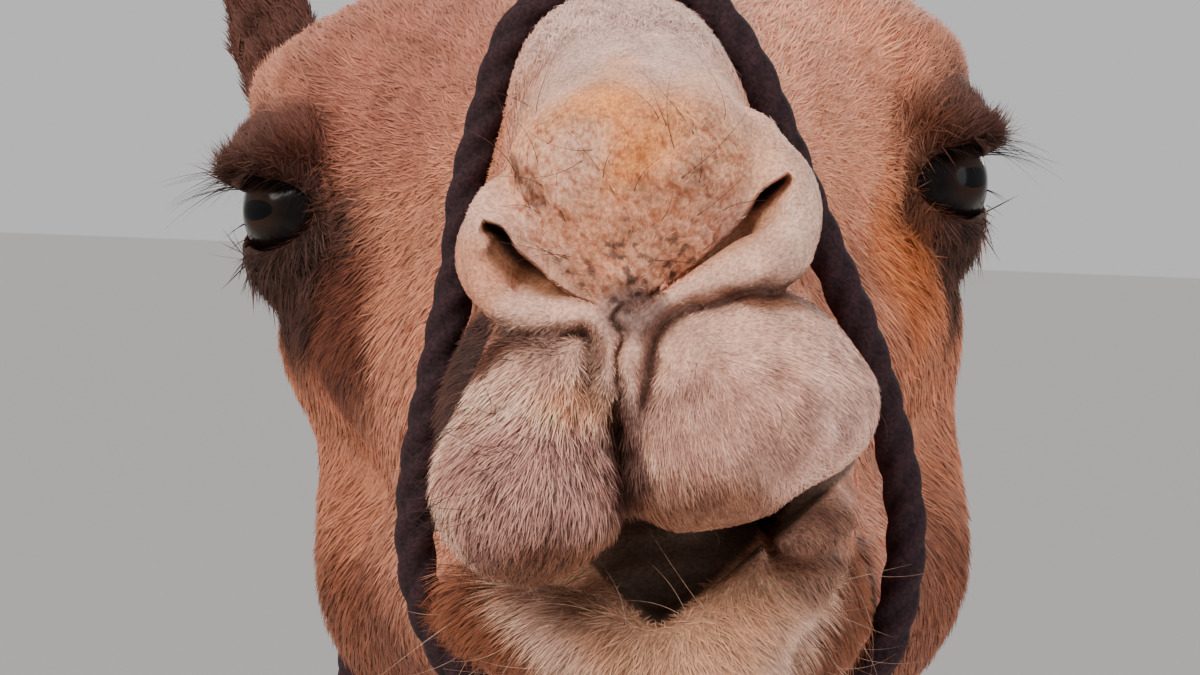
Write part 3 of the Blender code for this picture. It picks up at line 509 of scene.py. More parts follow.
# x, y, z, radius: the wing of each nostril, which runs on down beside the cleft of the lip, and the lower lip
RIGHT_WING = (
    (-0.0262, 0.036, 0.0150, 0.0060),
    (-0.0338, 0.028, 0.0125, 0.0050),
    (-0.0362, 0.019, 0.0015, 0.0047),
    (-0.0348, 0.012, -0.0085, 0.0050),
    (-0.0285, 0.007, -0.0140, 0.0050),
    (-0.0170, 0.003, -0.0148, 0.0044),
    (-0.0095, 0.001, -0.0170, 0.0036),
    (-0.0066, -0.001, -0.0240, 0.0032),
    (-0.0074, -0.004, -0.0345, 0.0030),
    (-0.0086, -0.003, -0.0430, 0.0020),
)
LEFT_WING = (
    (0.0310, 0.036, 0.0240, 0.0095),
    (0.0372, 0.028, 0.0165, 0.0070),
    (0.0398, 0.020, 0.0050, 0.0078),
    (0.0365, 0.014, -0.0035, 0.0085),
    (0.0285, 0.009, -0.0062, 0.0075),
    (0.0195, 0.006, -0.0095, 0.0056),
    (0.0110, 0.003, -0.0130, 0.0040),
    (0.0036, 0.001, -0.0180, 0.0036),
    (0.0002, -0.002, -0.0260, 0.0033),
    (-0.0014, -0.005, -0.0360, 0.0030),
    (-0.0010, -0.004, -0.0450, 0.0020),
)
LOWER_LIP = (
    (-0.0440, 0.066, -0.0880, 0.0095),
    (-0.0380, 0.050, -0.0930, 0.0110),
    (-0.0230, 0.036, -0.0955, 0.0118),
    (-0.0060, 0.029, -0.1010, 0.0112),
    (0.0060, 0.028, -0.1045, 0.0112),
    (0.0190, 0.030, -0.0985, 0.0118),
    (0.0335, 0.037, -0.0850, 0.0118),
    (0.0430, 0.052, -0.0745, 0.0108),
    (0.0490, 0.072, -0.0690, 0.0085),
)
add_roll(RIGHT_WING, 0.003)
add_roll(LEFT_WING, 0.003)
add_roll(LOWER_LIP, 0.004)

# the ears: side, root, lean out (degrees), lean back, turn about its own length
EARS = {
    "ear_left": (1, (0.078, 0.438, 0.044), 16, 74, 30),
    "ear_right": (-1, (-0.098, 0.428, 0.030), 20, 10, 50),
}
EAR_LENGTH, EAR_HALF_WIDTH, EAR_THICKNESS, EAR_CUP, EAR_EDGE = 0.103, 0.026, 0.0064, 9.0, 0.0018


def ear_place(side, root, lean_out, lean_back, turn):
    return (
        Matrix.Translation(root)
        @ Matrix.Rotation(math.radians(side * lean_out), 4, "Y")
        @ Matrix.Rotation(math.radians(-lean_back), 4, "X")
        @ Matrix.Rotation(math.radians(side * turn), 4, "Z")
    )


def ear_field(points, into_ear):
    """A rounded leaf, cupped round its length."""
    own = moved(points, into_ear)
    t = np.clip(own[:, 2] / EAR_LENGTH, 0, 1)
    half = EAR_HALF_WIDTH * np.sin(math.pi * (0.17 + 0.76 * t)) ** 0.6
    thick = EAR_THICKNESS * (1.25 - 0.75 * t)
    off_leaf = np.abs(own[:, 1] + EAR_CUP * own[:, 0] ** 2) - thick / 2 + EAR_EDGE
    off_side = np.abs(own[:, 0]) - half + EAR_EDGE
    off_end = np.maximum(own[:, 2] - EAR_LENGTH, -0.02 - own[:, 2]) + EAR_EDGE
    off = np.stack([off_leaf, off_side, off_end], 1)
    return np.minimum(off.max(1), 0) + np.sqrt((np.maximum(off, 0) ** 2).sum(1)) - EAR_EDGE


for pose in EARS.values():
    into_ear = np.array(ear_place(*pose).inverted())
    ear_ends = [np.array(ear_place(*pose) @ Vector((0, 0, h))) for h in (-0.02, EAR_LENGTH)]
    ear_low, ear_high = np.min(ear_ends, 0) - EAR_HALF_WIDTH, np.max(ear_ends, 0) + EAR_HALF_WIDTH
    lumps.append(Flesh(ear_low, ear_high, lambda points, into=into_ear: ear_field(points, into), 0.008, True))

# nostrils, outer end first: x, z of the plate's edge, depth of the slit and width of the wing's inner slope
NOSTRILS = (
    (
        (-0.0356, 0.0076, 0.000, 0.0026), (-0.0344, 0.0070, 0.010, 0.0040), (-0.0306, 0.0052, 0.013, 0.0086),
        (-0.0276, 0.0000, 0.0108, 0.0112), (-0.0231, -0.0043, 0.0088, 0.0114),
        (-0.0186, -0.0086, 0.0066, 0.0098),
        (-0.0141, -0.0119, 0.0036, 0.0068), (-0.0095, -0.0138, 0.0018, 0.0044),
        (-0.0050, -0.0150, 0.000, 0.0030),
    ),
    (
        (0.0404, 0.0160, 0.000, 0.0026), (0.0390, 0.0150, 0.010, 0.0042), (0.0336, 0.0118, 0.0125, 0.0088),
        (0.0304, 0.0075, 0.0085, 0.0116), (0.0268, 0.0031, 0.0068, 0.0128), (0.0224, -0.0004, 0.0055, 0.0118),
        (0.0175, -0.0044, 0.0042, 0.0094), (0.0127, -0.0083, 0.0026, 0.0064),
        (0.0050, -0.0128, 0.000, 0.0036),
    ),
)
PLATE_EDGE = 0.0010
# corners (x, z) of the open mouth seen from the front, and how far back it is hollow
MOUTH_CORNERS = (
    (-0.0125, -0.0795), (0.0032, -0.0930), (0.0385, -0.0690), (0.0350, -0.0675), (-0.0040, -0.0735)
)
ROOF_RISE = 0.60
# how far back the mouth is hollow, and how far its outline is followed
MOUTH_BACK, OUTLINE_BACK = 0.056, 0.12
# grooves (+) and ridges (-) of the muzzle from the front: points (x, z), half width, depth, how far back
CREASES = (
    (
        ((-0.0400, -0.0160), (-0.0320, -0.0200), (-0.0220, -0.0208), (-0.0150, -0.0205), (-0.0108, -0.0212),
         (-0.0094, -0.0250), (-0.0104, -0.0340)), 0.0020, 0.0040, 0.06,
    ),
    (
        ((0.0500, -0.0085), (0.0400, -0.0118), (0.0271, -0.0130), (0.0167, -0.0147), (0.0105, -0.0164),
         (0.0068, -0.0200), (0.0044, -0.0245), (0.0034, -0.0300), (0.0026, -0.0370)), 0.0019, 0.0042, 0.06,
    ),
    (((-0.0016, -0.0140), (-0.0034, -0.0230), (-0.0046, -0.0350), (-0.0046, -0.0500)), 0.0009, 0.0028, 0.03),
    (((-0.0046, -0.0400), (-0.0044, -0.0520), (-0.0034, -0.0700)), 0.0024, 0.0050, 0.03),
    (((-0.0280, 0.0225), (-0.0240, 0.0160), (-0.0208, 0.0105)), 0.0012, 0.0034, 0.07),
    (((0.0120, 0.0290), (0.0200, 0.0268), (0.0285, 0.0232)), 0.0008, 0.0006, 0.06),
    (((0.0170, 0.0142), (0.0215, 0.0180), (0.0270, 0.0222)), 0.0008, 0.0006, 0.06),
    (((-0.0016, 0.0070), (-0.0010, 0.0030), (-0.0006, -0.0030)), 0.0009, 0.0006, 0.06),
)
# the line of the mouth on the cheek, seen from the side: (y, z)
MOUTH_LINE = ((0.020, -0.0790), (0.060, -0.0770), (0.100, -0.0735), (0.145, -0.0665))
EYE_OPENING = (0.0178, 0.0120)
LOOK_ASIDE = math.radians(46)


def nostril(local, slit):
    """How deep the hide is drawn in: steeply under the nose plate's edge, gently from the wing's rim."""
    rows = between(slit, 4)
    count = np.arange(len(rows))
    distance, place = path_distance(local[:, (0, 2)], rows[:, :2])
    depth, width = (np.interp(place, count, rows[:, k]) for k in (2, 3))
    start = np.clip(place.astype(int), 0, len(rows) - 2)
    along = rows[start + 1, :2] - rows[start, :2]
    off = local[:, (0, 2)] - rows[start, :2]
    turn = -np.sign(along[:, 0]) * (along[:, 0] * off[:, 1] - along[:, 1] * off[:, 0])
    width = np.where(turn > 0, width, PLATE_EDGE)
    return depth * np.clip(1 - distance / width, 0, 1) ** 1.3 * (local[:, 1] < 0.06)


def mouth_field(local, back):
    """Distance to the hollow of the open mouth."""
    corners = np.array(MOUTH_CORNERS)
    sides = []
    rise = ROOF_RISE * np.clip(local[:, 1] - 0.006, 0, 0.04)
    for k, (start, end) in enumerate(zip(corners, np.roll(corners, -1, 0))):
        run = (end - start) / np.linalg.norm(end - start)
        height = local[:, 2] - start[1] - (rise if k > 1 else 0)
        sides.append((local[:, 0] - start[0]) * run[1] - height * run[0])
    reach = sides[0]
    for side in sides[1:]:
        reach = -melt(-reach, -side, 0.004)
    return np.maximum(reach, local[:, 1] - back)


def mottle(points, size, seed, waves=9):
    """Soft noise from about -1 to 1, with blotches of this size."""
    draw = np.random.default_rng(seed)
    turn = draw.normal(size=(waves, 3))
    turn *= math.tau / size * draw.uniform(0.6, 1.5, (waves, 1)) / np.linalg.norm(turn, axis=1)[:, None]
    wave = points @ turn.T + draw.uniform(0, math.tau, waves)
    return (np.sin(wave) * math.sqrt(2 / waves)).sum(1) * 0.6


def wavering(local):
    """Points of the muzzle seen from the front, displaced a little, so that its creases waver."""
    return local[:, (0, 2)] + 0.0011 * np.stack([mottle(local, 0.010, 71), mottle(local, 0.010, 72)], 1)


def on_plate(local):
    """1 on the heart-shaped plate of bare, wrinkled hide between the nostrils."""
    x, y, z = local.T
    half = np.interp(z, (-0.016, -0.008, 0.004, 0.018, 0.034), (0.003, 0.014, 0.026, 0.030, 0.024))
    return (
        smooth_step(1.15, 0.85, np.abs(x) / half) * smooth_step(0.038, 0.030, z)
        * smooth_step(-0.020, -0.014, z) * (y < 0.07)
    )


def drawn_in(local):
    """How far the hide of the muzzle is drawn in by its nostrils, creases and wrinkles."""
    seen, plate = wavering(local), on_plate(local)
    depth = plate * (0.00035 * mottle(local, 0.0075, 61) + 0.00018 * mottle(local, 0.0035, 67))
    depth += 0.0004 * plate * np.exp(-((mottle(local, 0.013, 62) / 0.12) ** 2))
    for path, width, most, back in CREASES:
        rows = between(path, 4)
        distance, place = path_distance(seen, rows)
        fade = (
            np.clip((back - local[:, 1]) / 0.02, 0, 1)
            * np.sin(math.pi * np.clip(place / (len(rows) - 1), 0, 1)) ** 0.5
        )
        depth += most * np.exp(-((distance / width) ** 2)) * fade
    return depth + nostril(local, NOSTRILS[0]) + nostril(local, NOSTRILS[1])


def head_details(points, field):
    """Mouth, sockets and lids carved into the field of the head, in the head's frame."""
    x, y, z = points.T
    front = near_box(points, (-0.07, -0.05, -0.13), (0.07, 0.10, 0.05), 0.0)
    field[front] = carve(field[front], mouth_field(points[front], MOUTH_BACK), 0.003)
    lips = near_box(points, (-0.09, 0.0, -0.10), (0.09, 0.16, -0.04), 0.0) & (np.abs(x) > 0.03)
    distance, _ = path_distance(points[lips][:, 1:], between(MOUTH_LINE, 4))
    field[lips] += 0.0035 * np.exp(-((distance / 0.0028) ** 2))
    for side in (1, -1):
        centre = np.array((side * EYE_OUT, EYE_BACK, EYE_UP))
        socket = near_box(points, centre, centre, 0.045)
        q = points[socket] - centre
        look = q[:, 0] * side * math.cos(LOOK_ASIDE) - q[:, 1] * math.sin(LOOK_ASIDE)
        across = q[:, 0] * side * math.sin(LOOK_ASIDE) + q[:, 1] * math.cos(LOOK_ASIDE)
        ball = np.sqrt((q**2).sum(1)) - EYE_RADIUS
        ring = (
            (np.abs(across) / EYE_OPENING[0]) ** 1.7
            + (np.abs(q[:, 2] - 0.10 * across) / EYE_OPENING[1]) ** 1.7
        ) ** (1 / 1.7)
        value = field[socket]
        fold = np.abs(ring - 1.75) * EYE_OPENING[1]
        value = value + 0.0016 * np.exp(-((fold / 0.0022) ** 2)) * (look > 0.004)
        opening = np.maximum((ring - 1) * EYE_OPENING[1] * 0.8, 0.006 - look)
        value = carve(value, opening, 0.002)
        field[socket] = np.maximum(value, -(ball - 0.0003))
    return field


def animal_field(points, margin):
    """The form of the coat's tips at points of the frame, true to within the margin of the surface."""
    drawn = points - drawn_shift
    local = in_head_frame(points)
    field = np.full(len(points), FAR)
    for lump in lumps:
        here = local if lump.in_head else drawn
        inside = near_box(here, lump.low, lump.high, lump.reach + margin)
        if inside.any():
            field[inside] = melt(field[inside], lump.field(here[inside]), lump.reach)
    for name, (_, _, foot, _) in LEGS.items():
        middle = foot_middle(name)
        low = np.flatnonzero(near_box(drawn, middle, middle, 0.14) & (drawn[:, 2] < 0.10))
        x, y, z = (drawn[low] - middle).T
        field[low] += (
            0.011 * np.exp(-((x / 0.012) ** 2)) * smooth_step(-0.02, -0.07, y) * smooth_step(0.085, 0.06, z)
        )
    in_head = near_box(local, (-0.15, -0.06, -0.19), (0.15, 0.42, 0.13), 0.0)
    if in_head.any():
        field[in_head] = head_details(local[in_head], field[in_head])
    return field


# ---------------------------------------------------------------- skin
# One hide from the lips to the toes, without a seam. It lies under the tips of the coat by the coat's own
# depth: a hair's breadth on the lips and feet, a finger on the hump and neck.
HEAD_VOXEL, BODY_VOXEL = 0.0025, 0.0125
SOLE_CLEARANCE = 0.0008
SEAM_HEIGHT = 1.845  # across the upper neck, where the fine net meets the coarse one
HEAD_SPACE = ((-0.17, -1.33, SEAM_HEIGHT), (0.17, -0.62, 2.27))
BODY_SPACE = ((-0.34, -1.35, -0.02), (0.34, 1.32, 2.11))
# depth of the coat: along the head (y of its frame), and up the body (height)
DEPTH_ON_HEAD = (
    (-0.02, 0.0006), (0.05, 0.0008), (0.12, 0.0014), (0.24, 0.0024), (0.33, 0.0034), (0.42, 0.006)
)
DEPTH_ON_BODY = (
    (0.0, 0.001), (0.15, 0.0015), (0.60, 0.003), (0.95, 0.005), (1.15, 0.008), (1.65, 0.010), (1.95, 0.016)
)
DEPTH_ON_NECK, DEPTH_ON_LID, DEPTH_ON_EAR = 0.012, 0.0004, 0.0014


def near_ears(local):
    """1 on the leaf of an ear, 0 off it."""
    most = np.zeros(len(local))
    for pose in EARS.values():
        own = moved(local, np.array(ear_place(*pose).inverted()))
        leaf = (
            smooth_step(0.012, 0.026, own[:, 2]) * (np.abs(own[:, 0]) < 0.036) * (np.abs(own[:, 1]) < 0.022)
        )
        most = np.maximum(most, leaf * (own[:, 2] < EAR_LENGTH + 0.02))
    return most


def to_eyes(local):
    """Distance from the middle of the nearer eye."""
    return np.sqrt(
        (np.abs(local[:, 0]) - EYE_OUT) ** 2 + (local[:, 1] - EYE_BACK) ** 2 + (local[:, 2] - EYE_UP) ** 2
    )


def coat_depth(points):
    local = in_head_frame(points)
    head = np.interp(local[:, 1], *np.transpose(DEPTH_ON_HEAD))
    throat = smooth_step(-0.10, -0.24, local[:, 2]) * smooth_step(0.20, 0.34, local[:, 1])
    head = head + (DEPTH_ON_NECK - head) * np.maximum(throat, smooth_step(0.40, 0.50, local[:, 1]))
    eye = smooth_step(0.034, 0.022, to_eyes(local))
    head = head + (DEPTH_ON_LID - head) * eye
    head = head + (DEPTH_ON_EAR - head) * near_ears(local)
    drawn = points - drawn_shift
    body = np.interp(drawn[:, 2], *np.transpose(DEPTH_ON_BODY))
    body = np.maximum(body, DEPTH_ON_NECK * smooth_step(-0.5, -0.8, drawn[:, 1]))
    in_head = smooth_step(-0.30, -0.20, local[:, 2]) * (local[:, 1] < 0.62)
    return body + (head - body) * in_head


def skin_field(points, margin=0.004):
    parts = np.array_split(points, 1 + len(points) // 60000)
    return np.concatenate([animal_field(part, margin) + coat_depth(part) for part in parts])


def in_head_space(points):
    return (points[:, 2] > SEAM_HEIGHT) & (points[:, 1] < HEAD_SPACE[1][1])


OCTANTS = np.array([(i, j, k) for i in (0, 1) for j in (0, 1) for k in (0, 1)])


def net_of(space, voxel, halvings, wanted):
    """The skin as a net of squares, one point for each cube of the grid that the surface runs through."""
    low, high = np.array(space)
    side = voxel * 2**halvings
    cubes = np.indices(np.ceil((high - low) / side).astype(int)).reshape(3, -1).T
    for _ in range(halvings):
        near = np.abs(skin_field(low + (cubes + 0.5) * side, side)) < 1.3 * side + 0.005
        cubes = (cubes[near][:, None] * 2 + OCTANTS).reshape(-1, 3)
        side /= 2
    cubes = cubes[wanted(low + (cubes + 0.5) * voxel)]
    known = np.zeros(cubes.max(0) + 3, bool)
    for octant in OCTANTS:
        known[tuple((cubes + octant).T)] = True
    grid = np.full(known.shape, FAR)
    grid[known] = skin_field(low + np.argwhere(known) * voxel)
    inside = grid < 0
    filled = sum(inside[tuple((cubes + octant).T)].astype(int) for octant in OCTANTS)
    cubes = cubes[(filled > 0) & (filled < 8)]
    number = np.full(grid.shape, -1, np.int32)
    number[tuple(cubes.T)] = np.arange(len(cubes))
    total, count = np.zeros((len(cubes), 3)), np.zeros(len(cubes))
    faces = []
    for axis in range(3):
        step = np.eye(3, dtype=int)[axis]
        for start in OCTANTS[OCTANTS[:, axis] == 0]:
            a, b = grid[tuple((cubes + start).T)], grid[tuple((cubes + start + step).T)]
            cross = (a < 0) != (b < 0)
            total[cross] += start + step * (a[cross] / (a[cross] - b[cross]))[:, None]
            count[cross] += 1
        one, two = [np.eye(3, dtype=int)[(axis + k) % 3] for k in (1, 2)]
        ahead = np.roll(inside, -1, axis)
        edges = np.argwhere((inside != ahead) & known & np.roll(known, -1, axis))
        edges = edges[(edges > 0).all(1)]
        square = np.stack([number[tuple((edges - back).T)] for back in (0 * one, one, one + two, two)], 1)
        outward = inside[tuple(edges.T)]
        square[~outward] = square[~outward][:, ::-1]
        faces.append(square[(square >= 0).all(1)])
    points = low + (cubes + total / count[:, None]) * voxel
    faces = np.concatenate(faces)
    used, faces = np.unique(faces, return_inverse=True)
    return points[used], faces.reshape(-1, 4)


def mesh_from(name, points, faces):
    mesh = bpy.data.meshes.new(name)
    mesh.vertices.add(len(points))
    mesh.vertices.foreach_set("co", np.asarray(points, np.float32).ravel())
    mesh.loops.add(faces.size)
    mesh.loops.foreach_set("vertex_index", np.asarray(faces, np.int32).ravel())
    mesh.polygons.add(len(faces))
    mesh.polygons.foreach_set("loop_start", np.arange(len(faces), dtype=np.int32) * faces.shape[1])
    mesh.polygons.foreach_set("use_smooth", np.ones(len(faces), bool))
    mesh.update(calc_edges=True)
    mesh.validate()
    return mesh


def face_normals(points, faces):
    if faces.shape[1] == 4:
        return np.cross(points[faces[:, 2]] - points[faces[:, 0]], points[faces[:, 3]] - points[faces[:, 1]])
    return np.cross(points[faces[:, 1]] - points[faces[:, 0]], points[faces[:, 2]] - points[faces[:, 0]])


def edges_of(faces):
    """The edges of each face as pairs of points, with all the first edges first."""
    sides = faces.shape[1]
    return np.concatenate([faces[:, [k, (k + 1) % sides]] for k in range(sides)])


def both_ways(faces):
    """Every edge of these faces once in each direction."""
    pairs = np.unique(np.sort(edges_of(faces), 1), axis=0)
    return np.concatenate([pairs, pairs[:, ::-1]])


def mean_beside(points, both):
    """The mean of each point's neighbours."""
    count = np.maximum(np.bincount(both[:, 0], minlength=len(points)), 1)[:, None]
    total = np.stack([np.bincount(both[:, 0], points[both[:, 1], k], len(points)) for k in range(3)], 1)
    return total / count


def unit(rows, least=0.0):
    """Each row made one long. least keeps a row of nothing from being divided by nothing."""
    return rows / (np.linalg.norm(rows, axis=1)[:, None] + least)


def point_normals(points, faces):
    flat = face_normals(points, faces)
    total = np.stack([
        sum(np.bincount(faces[:, k], flat[:, axis], len(points)) for k in range(faces.shape[1]))
        for axis in range(3)
    ], 1)
    return unit(total, 1e-12)


def settled(points, faces, rounds):
    """The net relaxed, then laid back on the surface, so that the squares of the grid don't show."""
    both = both_ways(faces)
    for _ in range(rounds):
        points = points + 0.5 * (mean_beside(points, both) - points)
        points = points - point_normals(points, faces) * np.clip(skin_field(points), -0.003, 0.003)[:, None]
    return points


def rim_by_angle(points, faces, centre):
    """The open rim's points in order round the neck, and their angles."""
    pairs, count = np.unique(np.sort(edges_of(faces), 1), axis=0, return_counts=True)
    rim = np.unique(pairs[count == 1])
    rim = rim[
        (np.abs(points[rim, 2] - SEAM_HEIGHT) < 0.02) & (np.linalg.norm(points[rim] - centre, axis=1) < 0.25)
    ]
    angle = np.arctan2(points[rim, 1] - centre[1], points[rim, 0] - centre[0])
    order = np.argsort(angle)
    return rim[order], angle[order]


def zipped(lower, lower_angle, upper, upper_angle):
    """Triangles between two rims that are in order round one middle."""
    triangles = []
    i = j = 0
    while i < len(lower) or j < len(upper):
        next_lower = lower_angle[i + 1] if i + 1 < len(lower) else math.tau + lower_angle[0]
        next_upper = upper_angle[j + 1] if j + 1 < len(upper) else math.tau + upper_angle[0]
        low_here, high_here = lower[i % len(lower)], upper[j % len(upper)]
        if j >= len(upper) or (i < len(lower) and next_lower < next_upper):
            triangles.append((low_here, lower[(i + 1) % len(lower)], high_here))
            i += 1
        else:
            triangles.append((low_here, upper[(j + 1) % len(upper)], high_here))
            j += 1
    return np.array(triangles)


fine_points, fine_faces = net_of(HEAD_SPACE, HEAD_VOXEL, 4, in_head_space)
fine_points = settled(fine_points, fine_faces, 2)
body_points, body_faces = net_of(BODY_SPACE, BODY_VOXEL, 3, lambda points: ~in_head_space(points))
body_points = settled(body_points, body_faces, 3)
body_points[:, 2] = np.maximum(body_points[:, 2], SOLE_CLEARANCE)
neck_middle = fine_points[fine_points[:, 2] < SEAM_HEIGHT + 0.01].mean(0)
body_rim, body_angle = rim_by_angle(body_points, body_faces, neck_middle)
fine_rim, fine_angle = rim_by_angle(fine_points, fine_faces, neck_middle)
shift = len(body_points)
skin_points = np.concatenate([body_points, fine_points])
skin_quads = np.concatenate([body_faces, fine_faces + shift])
skin_faces = np.concatenate([
    skin_quads[:, [0, 1, 2]],
    skin_quads[:, [0, 2, 3]],
    zipped(body_rim, body_angle, fine_rim + shift, fine_angle),
])


def neighbours(faces, wanted):
    """Every edge of the triangles that touch the wanted points, both ways round."""
    return both_ways(faces[np.isin(faces, wanted).any(1)])


def eased(points, wanted, both, share):
    """The wanted points drawn towards the mean of their neighbours."""
    points[wanted] += share * (mean_beside(points, both) - points)[wanted]
    return points


def finer(points, faces, wanted):
    """The wanted triangles cut in four and those beside them to meet them, the new points on the surface."""
    edges, which = np.unique(np.sort(edges_of(faces), 1), axis=0, return_inverse=True)
    which = which.reshape(3, -1).T
    cut = np.zeros(len(edges), bool)
    cut[which[wanted].ravel()] = True
    number = np.full(len(edges), -1)
    number[cut] = len(points) + np.arange(cut.sum())
    middle = number[which]
    count = (middle >= 0).sum(1)
    made = [faces[count == 0]]
    for k in range(3):
        a, b, c = (faces[:, (k + j) % 3] for j in range(3))
        ab, bc, ca = (middle[:, (k + j) % 3] for j in range(3))
        one = (count == 1) & (ab >= 0)
        two = (count == 2) & (ca < 0)
        made += [np.stack(t, 1)[one] for t in ((a, ab, c), (ab, b, c))]
        made += [np.stack(t, 1)[two] for t in ((a, ab, c), (ab, b, bc), (ab, bc, c))]
    a, b, c = faces[count == 3].T
    ab, bc, ca = middle[count == 3].T
    made += [np.stack(t, 1) for t in ((a, ab, ca), (ab, b, bc), (ca, bc, c), (ab, bc, ca))]
    faces = np.concatenate(made)
    old = len(points)
    points = np.concatenate([points, points[edges[cut]].mean(1)])
    near = np.unique(faces[(faces >= old).any(1)])
    both = neighbours(faces, near)
    for _ in range(3):
        points = eased(points, near, both, 0.6)
        for _ in range(2):
            off = np.clip(skin_field(points[near]), -0.0015, 0.0015)[:, None]
            points[near] -= point_normals(points, faces)[near] * off
    return points, faces


def near_muzzle(points, faces, back):
    middle = in_head_frame(points[faces].mean(1))
    return near_box(middle, (-0.062, -0.05, -0.10), (0.066, back, 0.038), 0.0)


def near_lines(points, faces, lines, reach):
    middle = in_head_frame(points[faces].mean(1))
    near = np.flatnonzero(near_box(middle, (-0.06, -0.05, -0.075), (0.06, 0.055, 0.036), 0.0))
    gap = np.min([path_distance(middle[near][:, (0, 2)], between(path, 4))[0] for path in lines], 0)
    wanted = np.zeros(len(faces), bool)
    wanted[near[gap < reach]] = True
    return wanted


FINE_LINES = [[row[:2] for row in slit] for slit in NOSTRILS] + [crease[0] for crease in CREASES]
near_lids = to_eyes(in_head_frame(skin_points[skin_faces].mean(1))) < 0.036
skin_points, skin_faces = finer(
    skin_points, skin_faces, near_lids | near_muzzle(skin_points, skin_faces, 0.075)
)
skin_points, skin_faces = finer(
    skin_points, skin_faces, near_lines(skin_points, skin_faces, FINE_LINES, 0.0055)
)
skin_points, skin_faces = finer(
    skin_points, skin_faces, near_lines(skin_points, skin_faces, FINE_LINES[:2], 0.0026)
)
on_front = near_box(in_head_frame(skin_points), (-0.06, -0.05, -0.065), (0.06, 0.040, 0.034), 0.0)
front_points = np.flatnonzero(on_front)
front_edges = neighbours(skin_faces, front_points)
for _ in range(10):
    skin_points = eased(skin_points, front_points, front_edges, 0.5)
on_front = near_box(in_head_frame(skin_points), (-0.06, -0.05, -0.075), (0.06, 0.07, 0.036), 0.0)
skin_points[on_front] += drawn_in(in_head_frame(skin_points[on_front]))[:, None] * from_head[:3, 1]
skin_normals = point_normals(skin_points, skin_faces)
skin_local = in_head_frame(skin_points)


def light(red, green, blue):
    """A colour given from 0 to 255, as linear light."""
    part = np.array((red, green, blue)) / 255
    return np.where(part > 0.04045, ((part + 0.055) / 1.055) ** 2.4, part / 12.92)


def toward(colour, other, amount):
    return colour + (other - colour) * np.asarray(amount)[:, None]


# patches of the face, on both sides where the last value is True: middle, radii, colour, strength
FACE_PATCHES = (
    ((0.104, 0.300, -0.060), (0.040, 0.090, 0.070), light(186, 110, 74), 0.55, True),  # rusty cheek
    # the lower cheek: its own darker orange-brown, and painted shade on this downward side of the jaw
    ((0.100, 0.280, -0.120), (0.050, 0.120, 0.040), light(112, 54, 30), 0.80, True),  # dark lower cheek
    # rust before the tear mark
    ((0.078, 0.255, -0.004), (0.018, 0.034, 0.036), light(216, 118, 56), 0.80, False),
    ((-0.078, 0.255, -0.018), (0.022, 0.036, 0.034), light(92, 38, 20), 0.92, False),
    ((0.102, 0.290, -0.008), (0.0135, 0.030, 0.026), light(78, 46, 34), 0.95, False),  # tear marks
    ((-0.096, 0.290, -0.008), (0.020, 0.030, 0.028), light(62, 35, 27), 0.95, False),
    ((0.105, 0.288, 0.021), (0.030, 0.058, 0.026), light(62, 37, 30), 0.95, False),  # dark rings of the lids
    ((-0.099, 0.278, 0.018), (0.036, 0.064, 0.027), light(62, 37, 30), 0.95, False),
    ((0.108, 0.290, 0.034), (0.029, 0.044, 0.015), light(98, 61, 50), 0.90, False),  # brow hair
    ((-0.100, 0.288, 0.034), (0.034, 0.044, 0.016), light(98, 61, 51), 0.90, False),
    ((-0.062, 0.250, 0.055), (0.034, 0.130, 0.040), light(162, 92, 74), 0.60, False),  # darker right forehead
    ((0.058, 0.250, 0.045), (0.036, 0.130, 0.046), light(246, 164, 126), 0.75, False),
    # painted shade in the hollow behind the right half of the lip
    ((-0.046, 0.080, -0.030), (0.015, 0.060, 0.044), light(54, 30, 26), 0.95, False),
    ((0.002, 0.080, 0.060), (0.040, 0.070, 0.026), light(228, 190, 176), 0.80, False),  # pale bridge
    # orange of the nose plate
    ((0.002, 0.034, 0.022), (0.032, 0.036, 0.020), light(246, 168, 110), 0.9, False),
    ((0.002, 0.034, 0.022), (0.017, 0.036, 0.021), light(255, 148, 44), 0.85, False),
    ((0.001, 0.014, 0.003), (0.024, 0.020, 0.014), light(214, 140, 96), 0.75, False),
    # notch under the plate
    ((-0.001, 0.004, -0.0135), (0.0085, 0.012, 0.0085), light(106, 80, 76), 0.80, False),
    ((-0.038, 0.020, -0.008), (0.012, 0.030, 0.014), light(226, 152, 116), 0.80, False),  # pale rims
    ((0.044, 0.024, 0.004), (0.012, 0.030, 0.016), light(240, 196, 172), 0.70, False),
    # painted shade, over the hide's own brown, in the folds under the nostrils' rims
    ((-0.030, 0.020, -0.0235), (0.021, 0.026, 0.0068), light(88, 40, 16), 0.95, False),
    ((0.034, 0.020, -0.0140), (0.026, 0.026, 0.0050), light(116, 64, 36), 0.88, False),
    # painted shade in the cleft of the lip
    ((-0.004, 0.000, -0.050), (0.0070, 0.030, 0.018), light(74, 46, 42), 0.90, False),
    # the two halves of the upper lip
    ((-0.027, 0.000, -0.055), (0.022, 0.040, 0.018), light(168, 118, 110), 0.75, False),
    ((-0.016, 0.000, -0.036), (0.010, 0.030, 0.009), light(226, 156, 110), 0.60, False),
    # the lower part of the lip's right half: its own orange-brown, darkened further as painted shade
    ((-0.020, 0.000, -0.076), (0.030, 0.040, 0.014), light(92, 45, 14), 0.90, False),
    ((0.026, 0.000, -0.043), (0.028, 0.040, 0.020), light(194, 142, 126), 0.70, False),
    # the lower part of the lip's left half: its own brown, darkened further as painted shade
    ((0.020, 0.000, -0.068), (0.032, 0.040, 0.012), light(130, 74, 44), 0.82, False),
    # the paler outer side of the lip's left half
    ((0.050, 0.012, -0.036), (0.014, 0.040, 0.024), light(226, 180, 166), 0.60, False),
    # painted shade in the fold at the left corner of the mouth
    ((0.048, 0.040, -0.078), (0.018, 0.040, 0.010), light(122, 74, 52), 0.80, False),
)


